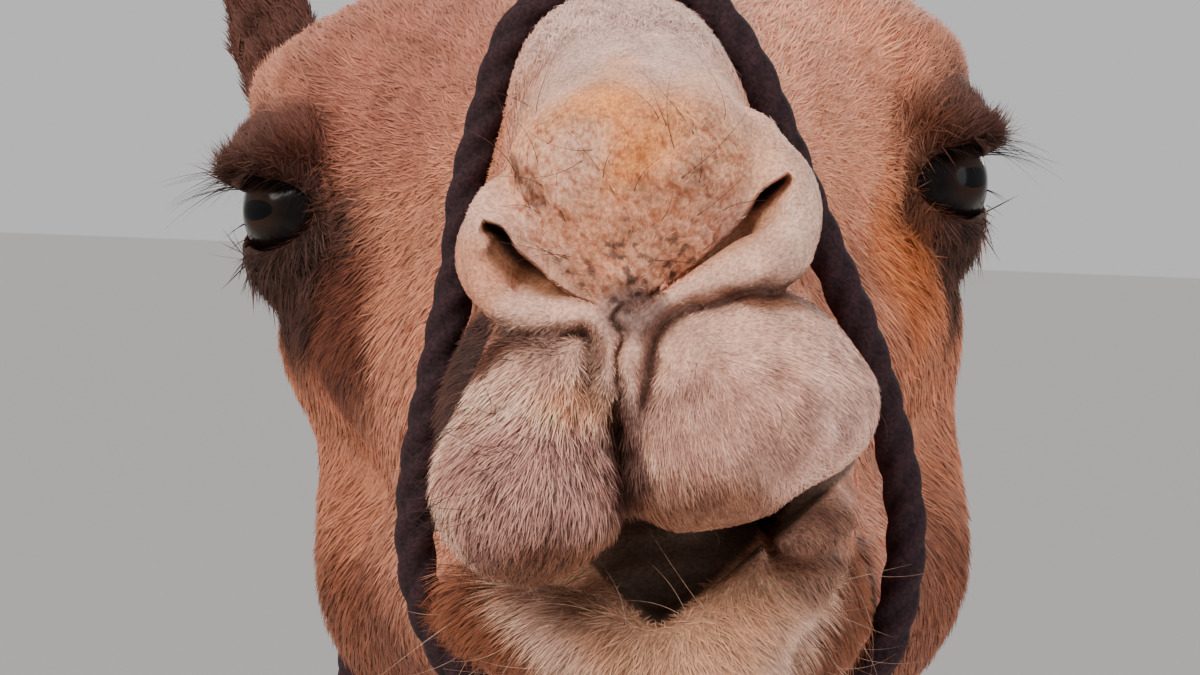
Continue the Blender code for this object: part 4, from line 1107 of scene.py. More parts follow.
def nose_marks(local):
    """Dark winding creases, blotches and specks of the nose plate: how far each darkens the hide."""
    plate = on_plate(local)
    lines = (
        np.exp(-((mottle(local, 0.013, 62) / 0.12) ** 2))
        + 0.7 * np.exp(-((mottle(local, 0.007, 63) / 0.12) ** 2))
    )
    blotch = smooth_step(0.0, 0.8, mottle(local, 0.0030, 64))
    near_notch = smooth_step(0.030, 0.010, np.hypot(local[:, 0], 1.2 * (local[:, 2] + 0.006)))
    speck = smooth_step(0.55, 0.90, mottle(local, 0.0040, 65) + 0.4 * mottle(local, 0.013, 66)) * near_notch
    return plate * np.clip(lines, 0, 1), plate * blotch, plate * speck


def cleft(local):
    """1 along the creases and slits of the muzzle, 0 off them."""
    deep = np.zeros(len(local))
    near = near_box(local, (-0.06, -0.03, -0.07), (0.06, 0.05, 0.03), 0.0)
    for path, width, depth, back in CREASES:
        distance, _ = path_distance(wavering(local[near]), between(path, 4))
        line = np.exp(-((distance / (1.3 * width)) ** 2)) * (local[near, 1] < back)
        deep[near] = np.maximum(deep[near], line * min(1, depth / 0.003))
    return deep


def hide_colour(points):
    """The colour of the coat at points of the frame, with painted shade and light on the face."""
    local = in_head_frame(points)
    drawn = points - drawn_shift
    x, y, z = drawn.T
    colour = np.tile(light(203, 145, 107), (len(points), 1))
    high = smooth_step(1.35, 1.85, z + 0.03 * mottle(points, 0.25, 1))
    colour = toward(colour, light(168, 120, 82), high * smooth_step(-1.0, -0.7, y))
    colour = toward(
        colour, light(132, 90, 60),
        smooth_step(1.84, 2.05, z + 0.02 * mottle(points, 0.08, 2)) * smooth_step(-0.6, -0.4, y)
    )
    colour = toward(
        colour, light(218, 184, 146), smooth_step(1.25, 1.02, z) * smooth_step(0.26, 0.10, np.abs(x))
    )
    colour = toward(colour, light(210, 172, 132), smooth_step(0.95, 0.45, z))
    colour = toward(colour, light(150, 108, 78), smooth_step(0.12, 0.03, z) * 0.5)
    knee = np.exp(-(((z - 0.57) / 0.05) ** 2)) * smooth_step(-0.40, -0.52, y)
    knee = knee + np.exp(-(((z - 0.62) / 0.05) ** 2)) * smooth_step(0.64, 0.78, y)
    colour = toward(colour, light(134, 98, 76), 0.55 * knee)
    pad = (
        smooth_step(1.08, 1.03, z) * smooth_step(0.15, 0.07, np.abs(y + 0.27))
        * smooth_step(0.13, 0.06, np.abs(x))
    )
    colour = toward(colour, light(96, 72, 60), 0.8 * pad)
    nape = (
        smooth_step(-1.12, -1.00, y + 0.04 * mottle(points, 0.12, 3)) * smooth_step(-0.60, -0.86, y)
        * smooth_step(1.42, 1.62, z)
    )
    colour = toward(colour, light(150, 104, 68), 0.7 * nape)
    in_head = smooth_step(-0.46, -0.10, local[:, 2] + 0.03 * mottle(points, 0.10, 80)) * (local[:, 1] < 0.62)
    face = np.tile(light(208, 134, 102), (len(points), 1))
    face = toward(face, light(194, 130, 106), smooth_step(0.02, 0.07, local[:, 2]))
    face = toward(
        face, light(212, 142, 112),
        smooth_step(0.00, -0.08, local[:, 2]) * smooth_step(0.10, 0.24, local[:, 1])
    )
    face = toward(face, light(228, 176, 153), smooth_step(0.09, 0.03, local[:, 1]))
    low_band = np.interp(local[:, 2], (-0.120, -0.105, -0.085, -0.076), (0.020, 0.028, 0.042, 0.048))
    # Below the mouth the jaw is painted darker orange-brown, its own colour and painted shade. The pale band
    # over it is the front of the lower lip, its own pale hair and painted light, with a painted highlight
    # along its rounded edges.
    on_jaw = smooth_step(-0.076, -0.084, local[:, 2]) * smooth_step(0.16, 0.10, local[:, 1])
    face = toward(face, light(128, 72, 46), on_jaw)
    in_band = on_jaw * smooth_step(0.006, -0.004, np.abs(local[:, 0] - 0.0075) - low_band)
    face = toward(face, light(220, 164, 130), in_band)
    band_edge_highlight = in_band * smooth_step(0.012, 0.002, np.abs(np.abs(local[:, 0] - 0.0075) - low_band + 0.006))
    face = toward(face, light(236, 196, 176), 0.6 * band_edge_highlight)
    warp = local + 0.004 * np.stack([mottle(local, 0.03, seed) for seed in (4, 5, 6)], 1)
    for centre, radii, patch, strength, both in FACE_PATCHES:
        off = warp.copy()
        if both:
            off[:, 0] = np.abs(off[:, 0])
        ring = np.sqrt((((off - np.array(centre)) / np.array(radii)) ** 2).sum(1))
        face = toward(face, patch, strength * smooth_step(1.25, 0.55, ring))
    clump = mottle(local, 0.0095, 78) + 0.6 * mottle(local, 0.022, 79)
    clump = clump * smooth_step(0.09, 0.14, local[:, 1])
    face = face * (1 + clump[:, None] * (0.09, 0.13, 0.16))
    # painted shade along the creases and slits of the muzzle
    face = toward(face, light(92, 56, 46), 0.75 * cleft(local))
    on_lip = (
        smooth_step(-0.018, -0.026, local[:, 2]) * smooth_step(0.10, 0.06, local[:, 1])
        * smooth_step(-0.090, -0.084, local[:, 2])
    )
    streak = on_lip * (mottle(local * (4.0, 1.0, 0.8), 0.011, 74) + 0.7 * mottle(local, 0.012, 75))
    face = face * (1 + streak[:, None] * (0.15, 0.20, 0.20))
    near_cleft = (
        smooth_step(0.019, 0.006, np.hypot(local[:, 0] + 0.010, 0.8 * (local[:, 2] + 0.046))) * on_lip
    )
    dot = smooth_step(0.55, 0.85, mottle(local, 0.0034, 76) + 0.35 * mottle(local, 0.012, 77))
    face = toward(face, light(84, 54, 44), 0.75 * near_cleft * dot)
    lines, blotch, speck = nose_marks(local)
    face = face * (1 - lines[:, None] * (0.30, 0.46, 0.54)) * (1 - blotch[:, None] * (0.28, 0.44, 0.50))
    face = toward(face, light(70, 46, 42), 0.8 * speck)
    face = toward(face, light(92, 56, 49), 0.90 * near_ears(local))
    colour = toward(colour, face, in_head)
    tone = 1 + 0.07 * mottle(points, 0.05, 7) + 0.12 * mottle(points, 0.012, 8)
    return np.clip(colour * tone[:, None], 0, 1)


def hollow(points):
    """1 deep in the nostrils, 0 on the outer hide."""
    local = in_head_frame(points)
    front = near_box(local, (-0.06, -0.05, -0.03), (0.06, 0.06, 0.05), 0.0)
    deep = np.zeros(len(points))
    for slit in NOSTRILS:
        deep[front] = np.maximum(deep[front], smooth_step(0.0005, 0.011, nostril(local[front], slit)))
    return deep


def paint(mesh, colours, alpha=None):
    layer = mesh.color_attributes.new("hide", "FLOAT_COLOR", "POINT")
    alpha = np.ones(len(colours)) if alpha is None else alpha
    layer.data.foreach_set("color", np.concatenate([colours, alpha[:, None]], 1).astype(np.float32).ravel())
    mesh.color_attributes.active_color = mesh.color_attributes["hide"]


def in_mouth(local):
    """1 on the walls of the open mouth, behind its edge."""
    reach = mouth_field(local, OUTLINE_BACK)
    return (
        smooth_step(0.0024, 0.0008, reach) * smooth_step(0.000, 0.006, local[:, 1])
        * (local[:, 1] < OUTLINE_BACK)
    )


skin_inside = np.maximum(hollow(skin_points), in_mouth(skin_local))
# the inner walls of the nostrils in their own brown, painted paler on the left nostril as painted light
wing_inside = toward(
    np.tile(light(134, 88, 62), (len(skin_points), 1)), light(186, 134, 104), (skin_local[:, 0] > 0) * 1.0
)
skin_colour = toward(hide_colour(skin_points) * 0.86, wing_inside, smooth_step(0.05, 0.40, skin_inside))
# painted shade deep in the slits of the nostrils
skin_colour = toward(skin_colour, light(64, 40, 32), smooth_step(0.62, 1.0, skin_inside))
skin_colour = toward(skin_colour, light(98, 74, 60), in_mouth(skin_local))
nose_top = smooth_step(0.075, 0.055, skin_local[:, 1]) * (skin_local[:, 1] < 0.1)
nose_part = nose_top * smooth_step(-0.021, -0.016, skin_local[:, 2])
skin_fur = 1 - 0.4 * nose_part


def new_group(name, inputs, outputs):
    """A node group with these sockets, and its input and output nodes."""
    group = bpy.data.node_groups.new(name, "ShaderNodeTree")
    for socket, kind, value in inputs:
        made = group.interface.new_socket(socket, in_out="INPUT", socket_type=kind)
        if value is not None:
            made.default_value = value
    for socket, kind in outputs:
        group.interface.new_socket(socket, in_out="OUTPUT", socket_type=kind)
    return group, group.nodes.new("NodeGroupInput"), group.nodes.new("NodeGroupOutput")


def added(tree, kind, **values):
    """A new shader node with these values on its sockets. A _ stands for the space in a socket's name."""
    node = tree.nodes.new("ShaderNode" + kind)
    for socket, value in values.items():
        node.inputs[socket.replace("_", " ")].default_value = value
    return node


def wired(tree, *links):
    """Links in one tree, each from a node's output to a node's input."""
    for source, out, target, into in links:
        tree.links.new(source.outputs[out], target.inputs[into])


def noise(tree, scale, detail=3.0, roughness=0.6):
    return added(tree, "TexNoise", Scale=scale, Detail=detail, Roughness=roughness)


# hide: the coat's own colour, flecked with darker and paler hairs, and the relief of short flat fur and pores
hide_group, hide_in, hide_out = new_group(
    "short_fur",
    (
        ("Colour", "NodeSocketColor", None), ("Fur", "NodeSocketFloat", 1.0),
        ("Fleck", "NodeSocketFloat", 0.3),
        ("Relief", "NodeSocketFloat", 0.0006),
    ),
    (("Colour", "NodeSocketColor"), ("Normal", "NodeSocketVector")),
)
place_node = added(hide_group, "TexCoord")
fleck_noise = noise(hide_group, 900.0, 2.0)
broad_noise = noise(hide_group, 120.0, 3.0)
pore_noise = noise(hide_group, 420.0, 4.0, 0.7)
fleck_ramp = added(hide_group, "MapRange", From_Min=0.38, From_Max=0.62)
darker = added(hide_group, "Mix")
darker.data_type, darker.blend_type = "RGBA", "MULTIPLY"
darker.inputs["Factor"].default_value = 1.0
tone_ramp = added(hide_group, "MapRange", To_Max=1.12)
low_tone, height, furred = (added(hide_group, "Math") for _ in range(3))
low_tone.operation, height.operation, furred.operation = "SUBTRACT", "ADD", "MULTIPLY"
low_tone.inputs[0].default_value = 1.0
relief = added(hide_group, "Bump", Strength=0.8)
wired(
    hide_group,
    (place_node, "Object", fleck_noise, "Vector"),
    (place_node, "Object", broad_noise, "Vector"),
    (place_node, "Object", pore_noise, "Vector"),
    (fleck_noise, "Fac", fleck_ramp, "Value"),
    (hide_in, "Fleck", low_tone, 1),
    (low_tone, 0, tone_ramp, "To Min"),
    (fleck_ramp, "Result", tone_ramp, "Value"),
    (hide_in, "Colour", darker, "A"),
    (tone_ramp, "Result", darker, "B"),
    (pore_noise, "Fac", height, 0),
    (broad_noise, "Fac", height, 1),
    (height, 0, furred, 0),
    (hide_in, "Fur", furred, 1),
    (hide_in, "Relief", relief, "Distance"),
    (furred, 0, relief, "Height"),
    (darker, "Result", hide_out, "Colour"),
    (relief, "Normal", hide_out, "Normal"),
)


def hide_material(name, fleck, depth, roughness):
    material = plain_material(name, (0.6, 0.45, 0.33), roughness)
    tree = material.node_tree
    shader = tree.nodes["Principled BSDF"]
    painted = added(tree, "VertexColor")
    painted.layer_name = "hide"
    fur = added(tree, "Group")
    fur.node_tree = hide_group
    fur.inputs["Fleck"].default_value = fleck
    fur.inputs["Relief"].default_value = depth
    wired(
        tree,
        (painted, "Color", fur, "Colour"),
        (painted, "Alpha", fur, "Fur"),
        (fur, "Colour", shader, "Base Color"),
        (fur, "Normal", shader, "Normal"),
    )
    shader.inputs["Specular IOR Level"].default_value = 0.25
    return material


skin_mesh = mesh_from("skin", skin_points, skin_faces)
paint(skin_mesh, skin_colour, skin_fur)
skin_mesh.materials.append(hide_material("skin", 0.30, 0.0007, 0.70))
skin = linked("skin", skin_mesh)
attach(skin, "root")
FLESH = [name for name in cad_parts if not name.startswith(("eye_", "halter_"))]
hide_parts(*FLESH)


# ---------------------------------------------------------------- eyes
# Large dark-brown eyes, set to the sides, each with a bulging clear cornea, a wide level pupil and a dark
# rim. Each is one ball, turned to look aside, in a socket whose lids belong to the skin.
EYE_RINGS, EYE_SIDES = 40, 48
CORNEA_RISE = 0.0016


def ball_net(rings, sides):
    """The points and squares of a ball of radius one, and each point's angle from its top."""
    polar = np.repeat(math.pi * np.arange(rings + 1) / rings, sides)
    turn = np.tile(math.tau * np.arange(sides) / sides, rings + 1)
    points = np.stack([np.sin(polar) * np.cos(turn), np.sin(polar) * np.sin(turn), np.cos(polar)], 1)
    here = np.arange(rings * sides).reshape(rings, sides)
    after = np.roll(here, -1, 1)
    return points, np.stack([here, here + sides, after + sides, after], 2).reshape(-1, 4), polar


def eye_piece(side, node):
    points, faces, polar = ball_net(EYE_RINGS, EYE_SIDES)
    points = points * (EYE_RADIUS + CORNEA_RISE * smooth_step(0.62, 0.20, polar))[:, None]
    gaze = head_turn @ Vector((side * math.cos(LOOK_ASIDE), -math.sin(LOOK_ASIDE), 0.02)).normalized()
    level = head_turn @ Vector((side * math.sin(LOOK_ASIDE), math.cos(LOOK_ASIDE), 0.0))
    place = Matrix((level, gaze.cross(level), gaze)).transposed().to_4x4()
    out = EYE_OUT if side > 0 else EYE_OUT / (1 - BROW_SPREAD)
    place.translation = HEAD @ Vector((side * out, EYE_BACK, EYE_UP))
    obj = linked(node + "_ball", mesh_from(node + "_ball", points, faces))
    obj.matrix_world = place
    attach(obj, "root")
    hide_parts(node)
    return obj


def eye_material():
    material = plain_material("eye", (0.01, 0.006, 0.005), 0.22)
    tree = material.node_tree
    shader = tree.nodes["Principled BSDF"]
    shader.inputs["Coat Weight"].default_value = 0.12
    shader.inputs["Coat Roughness"].default_value = 0.04
    shader.inputs["IOR"].default_value = 1.18
    shader.inputs["Coat IOR"].default_value = 1.35
    place = added(tree, "TexCoord")
    split = added(tree, "SeparateXYZ")
    flat = added(tree, "CombineXYZ")
    away, pupil_reach, squash = (added(tree, "VectorMath") for _ in range(3))
    away.operation = pupil_reach.operation = "LENGTH"
    squash.operation = "MULTIPLY"
    squash.inputs[1].default_value = (1.0, 2.1, 0.0)
    scaled = added(tree, "Math")
    scaled.operation = "MULTIPLY"
    scaled.inputs[1].default_value = 62.0
    ramp = added(tree, "ValToRGB")
    near_pupil, at_rim = ramp.color_ramp.elements
    near_pupil.position, near_pupil.color = 0.20, (0.030, 0.014, 0.008, 1)
    at_rim.position, at_rim.color = 0.66, (0.006, 0.004, 0.004, 1)
    pupil = added(tree, "MapRange", From_Min=0.0072, From_Max=0.0064)
    mixed = added(tree, "Mix")
    mixed.data_type = "RGBA"
    mixed.inputs["B"].default_value = (0.002, 0.002, 0.003, 1)
    wired(
        tree,
        (place, "Object", split, 0),
        (split, "X", flat, "X"),
        (split, "Y", flat, "Y"),
        (flat, 0, away, 0),
        (away, "Value", scaled, 0),
        (scaled, 0, ramp, "Fac"),
        (place, "Object", squash, 0),
        (squash, 0, pupil_reach, 0),
        (pupil_reach, "Value", pupil, "Value"),
        (pupil, "Result", mixed, "Factor"),
        (ramp, "Color", mixed, "A"),
        (mixed, "Result", shader, "Base Color"),
    )
    return material


eye_finish = eye_material()
for side, node in ((1, "eye_left"), (-1, "eye_right")):
    eye_piece(side, node).data.materials.append(eye_finish)


# ---------------------------------------------------------------- halter
# A soft halter of dark three-strand rope: a band round the nose, and a headstall from the chin round the back
# of the head. The two meet in one lump of a knot under the chin, and no lead hangs from it.
ROPE_RADIUS, STRAND_PITCH, STRANDS = 0.0056, 0.034, 3
ROPE_SIDES, ROPE_STEP = 24, 0.0019
ROPE_CLEAR = 0.0022  # the least height of the rope's middle over the tips of the coat
NOSEBAND = (
    (0.0040, 0.128, 0.0725), (0.0210, 0.128, 0.0680), (0.0345, 0.128, 0.0490), (0.0425, 0.129, 0.0280),
    (0.0520, 0.130, 0.0010), (0.0630, 0.131, -0.0290), (0.0710, 0.133, -0.0640), (0.0715, 0.135, -0.0900),
    (0.0610, 0.137, -0.1200), (0.0350, 0.138, -0.1345), (0.0060, 0.139, -0.1370), (-0.0260, 0.138, -0.1330),
    (-0.0500, 0.137, -0.1160), (-0.0612, 0.135, -0.0900), (-0.0605, 0.133, -0.0620),
    (-0.0545, 0.131, -0.0360),
    (-0.0470, 0.130, -0.0070), (-0.0380, 0.129, 0.0230), (-0.0290, 0.128, 0.0500), (-0.0140, 0.128, 0.0680),
)
HEADSTALL = (
    (0.0060, 0.1500, -0.1365), (0.0150, 0.1580, -0.1375), (0.0230, 0.1950, -0.1390), (0.0400, 0.285, -0.1560),
    (0.0620, 0.350, -0.1660), (0.0800, 0.405, -0.1350), (0.0850, 0.436, -0.0720), (0.0830, 0.456, -0.0080),
    (0.0600, 0.466, 0.0400), (0.0000, 0.472, 0.0660),
)
CHIN_MIDDLE, BEHIND_CHIN = 0.006, 0.25
KNOT_MIDDLE = (CHIN_MIDDLE, 0.1455, -0.1365)


def closed_route(rows):
    """A closed smooth path in even steps through these points of the head, and the direction at each."""
    ring = between([*rows[-2:], *rows, *rows[:3]], 12)[24:-24]
    ring = moved(ring, from_head)
    length = np.concatenate([[0], np.cumsum(np.linalg.norm(np.diff(ring, axis=0), axis=1))])
    count = int(length[-1] / ROPE_STEP)
    even = np.linspace(0, length[-1], count, endpoint=False)
    path = np.stack([np.interp(even, length, ring[:, k]) for k in range(3)], 1)
    for _ in range(8):
        lift = np.clip(ROPE_CLEAR - animal_field(path, 0.02), 0, 0.003)
        slope = [
            animal_field(path + step, 0.02) - animal_field(path - step, 0.02) for step in 0.001 * np.eye(3)
        ]
        slope = np.stack(slope, 1)
        path = path + unit(slope, 1e-9) * lift[:, None]
        path = (np.roll(path, 1, 0) + 2 * path + np.roll(path, -1, 0)) / 4
    ahead = np.roll(path, -1, 0) - np.roll(path, 1, 0)
    return path, unit(ahead), length[-1]


def square_to(rows, along, least=0.0):
    """Each row less what it has of a direction, made one long."""
    return unit(rows - (rows * along).sum(1)[:, None] * along, least)


def rope_mesh(name, path, ahead, middle, lay, radius, closed=True):
    """Three strands laid round one another along a path. lay is how far they have turned at each point."""
    side = square_to(path - middle, ahead)
    up = np.cross(ahead, side)
    around = math.tau * np.arange(ROPE_SIDES) / ROPE_SIDES
    lobe = np.abs(np.cos(STRANDS * (around[None] - lay[:, None]) / 2))
    reach = radius * (0.72 + 0.30 * lobe**0.6)
    points = path[:, None] + reach[..., None] * (
        np.cos(around)[None, :, None] * side[:, None] + np.sin(around)[None, :, None] * up[:, None]
    )
    here = np.arange(len(path) * ROPE_SIDES).reshape(len(path), ROPE_SIDES)
    after = np.roll(here, -1, 0)
    faces = np.stack([here, np.roll(here, -1, 1), np.roll(after, -1, 1), after], 2)
    faces = (faces if closed else faces[:-1]).reshape(-1, 4)
    mesh = mesh_from(name, points.reshape(-1, 3), faces[:, ::-1])
    # the grooves between the strands painted darker as painted shade, over the rope's own dark purple-brown
    paint(mesh, (0.35 + 0.65 * lobe**0.5).reshape(-1, 1) * light(54, 32, 37))
    mesh.materials.append(rope_finish)
    return mesh


def rope_piece(node, rows):
    path, ahead, length = closed_route(rows)
    lay = math.tau * round(length / STRAND_PITCH) * np.arange(len(path)) / len(path)
    obj = linked(node + "_rope", rope_mesh(node + "_rope", path, ahead, path.mean(0), lay, ROPE_RADIUS))
    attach(obj, "root")
    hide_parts(node)
    return path


rope_finish = hide_material("rope", 0.5, 0.0005, 0.85)
mirrored = [(2 * CHIN_MIDDLE - x if y < BEHIND_CHIN else -x, y, z) for x, y, z in HEADSTALL[-2:0:-1]]
noseband_path = rope_piece("halter_noseband", NOSEBAND)
headstall_path = rope_piece("halter_headstall", [*HEADSTALL, *mirrored])
# the knot: turns of the same rope wound round both bands, thinner towards each end
KNOT_TURNS, KNOT_RADII, KNOT_ROPE, KNOT_LAY, KNOT_STEPS = 3.0, (0.0105, 0.0135, 0.0085), 0.0042, 0.16, 260
knot_angle = np.linspace(0, math.tau * KNOT_TURNS, KNOT_STEPS)
knot_wound = np.stack([
    KNOT_RADII[0] * np.sin(knot_angle),
    KNOT_RADII[1] * (knot_angle / (math.tau * KNOT_TURNS) - 0.5) * 1.5,
    KNOT_RADII[2] * np.cos(knot_angle),
], 1)
knot_path = moved(knot_wound + np.array(KNOT_MIDDLE), from_head)
knot_ahead = unit(np.gradient(knot_path, axis=0))
knot_middle = moved(np.array([KNOT_MIDDLE]), from_head)
knot_taper = np.maximum(np.sin(np.linspace(0, math.pi, KNOT_STEPS)) ** 0.25, 0.05)[:, None]
knot_lay = np.arange(KNOT_STEPS) * KNOT_LAY
knot = linked("halter_knot_rope", rope_mesh(
    "halter_knot_rope", knot_path, knot_ahead, knot_middle, knot_lay, KNOT_ROPE * knot_taper, False
))
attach(knot, "root")
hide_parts("halter_knot")


# ---------------------------------------------------------------- short hair of the muzzle
# Hair as on the living lip: thin pale-tipped blades that fan out from the cleft, shortest on the nostrils'
# rims. Each blade is rooted in the skin and bends towards its tip.
skin_corners = skin_points[skin_faces]
skin_middles = skin_corners.mean(1)
skin_areas = (
    np.linalg.norm(
        np.cross(skin_corners[:, 1] - skin_corners[:, 0], skin_corners[:, 2] - skin_corners[:, 0]), axis=1
    ) / 2
)
middles_local = in_head_frame(skin_middles)
middles_drawn = skin_middles - drawn_shift
face_hollow = hollow(skin_middles)
on_ears = near_ears(middles_local)
from_eye = to_eyes(middles_local)
of_head = in_head_space(skin_middles)

unwrap_points, unwrap_faces = net_of(HEAD_SPACE, 0.012, 1, in_head_space)
more_points, more_faces = net_of(BODY_SPACE, 0.045, 1, lambda points: ~in_head_space(points))
unwrap_faces = np.concatenate([unwrap_faces, more_faces + len(unwrap_points)])
unwrap_faces = np.concatenate([unwrap_faces[:, [0, 1, 2]], unwrap_faces[:, [0, 2, 3]]])
unwrap_points = np.concatenate([unwrap_points, more_points])
unwrap_mesh = mesh_from("unwrap", unwrap_points, unwrap_faces)
unwrap = linked("unwrap", unwrap_mesh)
bpy.context.view_layer.objects.active = unwrap
unwrap.select_set(True)
bpy.ops.object.mode_set(mode="EDIT")
bpy.ops.mesh.select_all(action="SELECT")
bpy.ops.uv.smart_project(angle_limit=math.radians(66), island_margin=0.004)
bpy.ops.object.mode_set(mode="OBJECT")
flat_corners = np.empty(len(unwrap_mesh.loops) * 2, np.float32)
unwrap_mesh.uv_layers.active.data.foreach_get("uv", flat_corners)
flat_corners = flat_corners.reshape(-1, 3, 2)
unwrap_index = np.empty(len(unwrap_mesh.loops), np.int32)
unwrap_mesh.loops.foreach_get("vertex_index", unwrap_index)
unwrap_tree = BVHTree.FromPolygons([Vector(p) for p in unwrap_points], unwrap_index.reshape(-1, 3).tolist())
solid_corners = unwrap_points[unwrap_index.reshape(-1, 3)]
bpy.data.objects.remove(unwrap)


def flat_places(points):
    """Where these points lie on the unwrap of the hide's own shape."""
    found = np.array([unwrap_tree.find_nearest(Vector(point))[2] for point in points])
    a, b, c = (solid_corners[found, k] for k in range(3))
    ab, ac, ap = b - a, c - a, points - a
    d00, d01, d11 = (ab * ab).sum(1), (ab * ac).sum(1), (ac * ac).sum(1)
    d20, d21 = (ap * ab).sum(1), (ap * ac).sum(1)
    scale = d00 * d11 - d01 * d01 + 1e-18
    v, w = (d11 * d20 - d01 * d21) / scale, (d00 * d21 - d01 * d20) / scale
    v, w = np.clip(v, 0, 1), np.clip(w, 0, 1)
    flat = flat_corners[found]
    return flat[:, 0] + v[:, None] * (flat[:, 1] - flat[:, 0]) + w[:, None] * (flat[:, 2] - flat[:, 0])


def lie_of_coat(points):
    """The way the hair runs, in the frame, before it is laid on the skin."""
    local = in_head_frame(points)
    x, y, z = local.T
    way = np.stack([0.25 * x / 0.1, 0.9 + 0 * y, 0.15 + 0 * z], 1)
    cheek = smooth_step(0.05, -0.03, z)[:, None]
    way = way + (np.array((0.0, 0.85, -0.55)) - way) * cheek
    nose_way = unit(np.stack([1.1 * x, 0.022 + 0 * y, z + 0.022], 1))
    way = way + (nose_way - way) * smooth_step(0.085, 0.045, y)[:, None]
    lip_way = unit(np.stack([x + 0.003, 0.012 + 0 * y, 1.2 * (z + 0.004)], 1))
    way = way + (lip_way - way) * (smooth_step(-0.014, -0.022, z) * smooth_step(0.10, 0.06, y))[:, None]
    low_way = unit(np.stack([x - 0.006, 0.018 + 0 * y, z + 0.062], 1))
    way = way + (low_way - way) * (smooth_step(-0.084, -0.090, z) * smooth_step(0.12, 0.08, y))[:, None]
    side = np.sign(x)
    eye_way = unit(np.stack([x - side * EYE_OUT, y - EYE_BACK, z - EYE_UP], 1), 1e-9)
    way = way + (eye_way - way) * (0.7 * smooth_step(0.055, 0.022, to_eyes(local)))[:, None]
    ears = near_ears(local)
    for pose in EARS.values():
        tip_way = np.array(ear_place(*pose))[:3, 2]
        mine = ears * (side == pose[0])
        way = way + (tip_way - way) * mine[:, None]
    way = way @ from_head[:3, :3].T
    dx, dy, dz = (points - drawn_shift).T
    body = np.stack([0 * dx, 0.85 + 0 * dy, -0.5 + 0 * dz], 1)
    upright = (smooth_step(-0.86, -1.0, dy) * (dz > 1.3))[:, None]
    body = body + (np.array((0.0, 0.30, -0.95)) - body) * upright
    crest = smooth_step(1.72, 1.85, dz) * (dy > -0.5)
    body = body + (np.array((0.0, 0.62, 0.55)) - body) * crest[:, None]
    shank = smooth_step(1.10, 0.95, dz)[:, None]
    body = body + (np.array((0.0, 0.18, -1.0)) - body) * shank
    tail = (dy > 0.86)[:, None]
    body = np.where(tail, np.array((0.0, 0.10, -1.0)), body)
    return np.where(((local[:, 2] > -0.26) & (local[:, 1] < 0.60))[:, None], way, body)


hair_finish = hide_material("hair", 0.12, 0.0002, 0.62)


def hair_piece(name, points, faces, colours, flat, patch):
    """A solid mesh of hair, where each hair's own patch of the unwrap lies at its root's place."""
    mesh = mesh_from(name, points.reshape(-1, 3), faces)
    paint(mesh, np.clip(colours.reshape(-1, 3), 0, 1))
    corner = np.empty(len(mesh.loops), np.int32)
    mesh.loops.foreach_get("vertex_index", corner)
    layer = mesh.uv_layers.new(name="OFBake")
    spread = (flat[:, None] + 0.003 * (patch[None] - 0.5)).reshape(-1, 2)
    layer.data.foreach_set("uv", np.clip(spread[corner], 0, 1).astype(np.float32).ravel())
    mesh.materials.append(hair_finish)
    obj = linked(name, mesh)
    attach(obj, "root")
    return obj


def rods(name, roots, runs, bows, lengths, thick, colours):
    """Long single hairs: three-sided rods that taper to a point, each bowed its own way."""
    count, steps = len(roots), 9
    t = np.linspace(0, 1, steps)[None, :, None]
    long = lengths[:, None, None]
    middle = roots[:, None] + long * (t * runs[:, None] + t**2 * bows[:, None])
    side = unit(np.cross(runs, bows + 1e-6), 1e-12)
    up = np.cross(side, runs)
    turn = math.tau * np.arange(3)[None, None, :, None] / 3
    ring = np.cos(turn) * side[:, None, None] + np.sin(turn) * up[:, None, None]
    points = middle[:, :, None] + ring * (thick * (1 - 0.88 * t))[..., None]
    shade = np.broadcast_to(colours[:, None, None], points.shape)
    base = 3 * steps * np.arange(count)[:, None]
    faces = [base + (2, 1, 0), base + 3 * (steps - 1) + (0, 1, 2)]
    for k in range(steps - 1):
        for j in range(3):
            a, b = 3 * k + j, 3 * k + (j + 1) % 3
            faces += [base + (a, b, b + 3), base + (a, b + 3, a + 3)]
    patch = np.stack([np.tile((0.0, 0.5, 1.0), steps), np.repeat(np.linspace(0, 1, steps), 3)], 1)
    return hair_piece(name, points, np.concatenate(faces), shade, flat_places(roots), patch)


def blades(
    name, place, normal, run, long, wide, rise, colour, draw, tip=1.2, root=0.7, bend=0.35, sink=0.3
):
    """One piece of hair: a thin pointed blade of three faces from each place, lying along its run."""
    count = len(place)
    roll = draw.normal(0, 0.45, count)[:, None]
    side = np.cross(normal, run) * np.cos(roll) + normal * np.sin(roll)
    points, colours = np.empty((count, 5, 3)), np.empty((count, 5, 3))
    for k, (along, share_wide) in enumerate(((0.0, 0.75), (0.5, 1.0), (1.0, 0.0))):
        up = along * np.sin(rise) - bend * np.sin(rise) * along**2
        middle = place - sink * wide[:, None] * normal
        middle = middle + long[:, None] * (along * np.cos(rise)[:, None] * run + up[:, None] * normal)
        shade = colour * (root + (tip - root) * along)[:, None]
        off = side * (wide * share_wide / 2)[:, None]
        if k < 2:
            points[:, 2 * k], points[:, 2 * k + 1] = middle - off, middle + off
            colours[:, 2 * k] = colours[:, 2 * k + 1] = shade
        else:
            points[:, 4], colours[:, 4] = middle, shade
    points[..., 2] = np.maximum(points[..., 2], SOLE_CLEARANCE)
    base = 5 * np.arange(count)[:, None]
    faces = np.concatenate([base + (0, 1, 3), base + (0, 3, 2), base + (2, 3, 4)])
    patch = np.array(((0.1, 0.0), (0.9, 0.0), (0.0, 0.5), (1.0, 0.5), (0.5, 1.0)))
    return hair_piece(name, points, faces, colours, flat_places(place), patch)


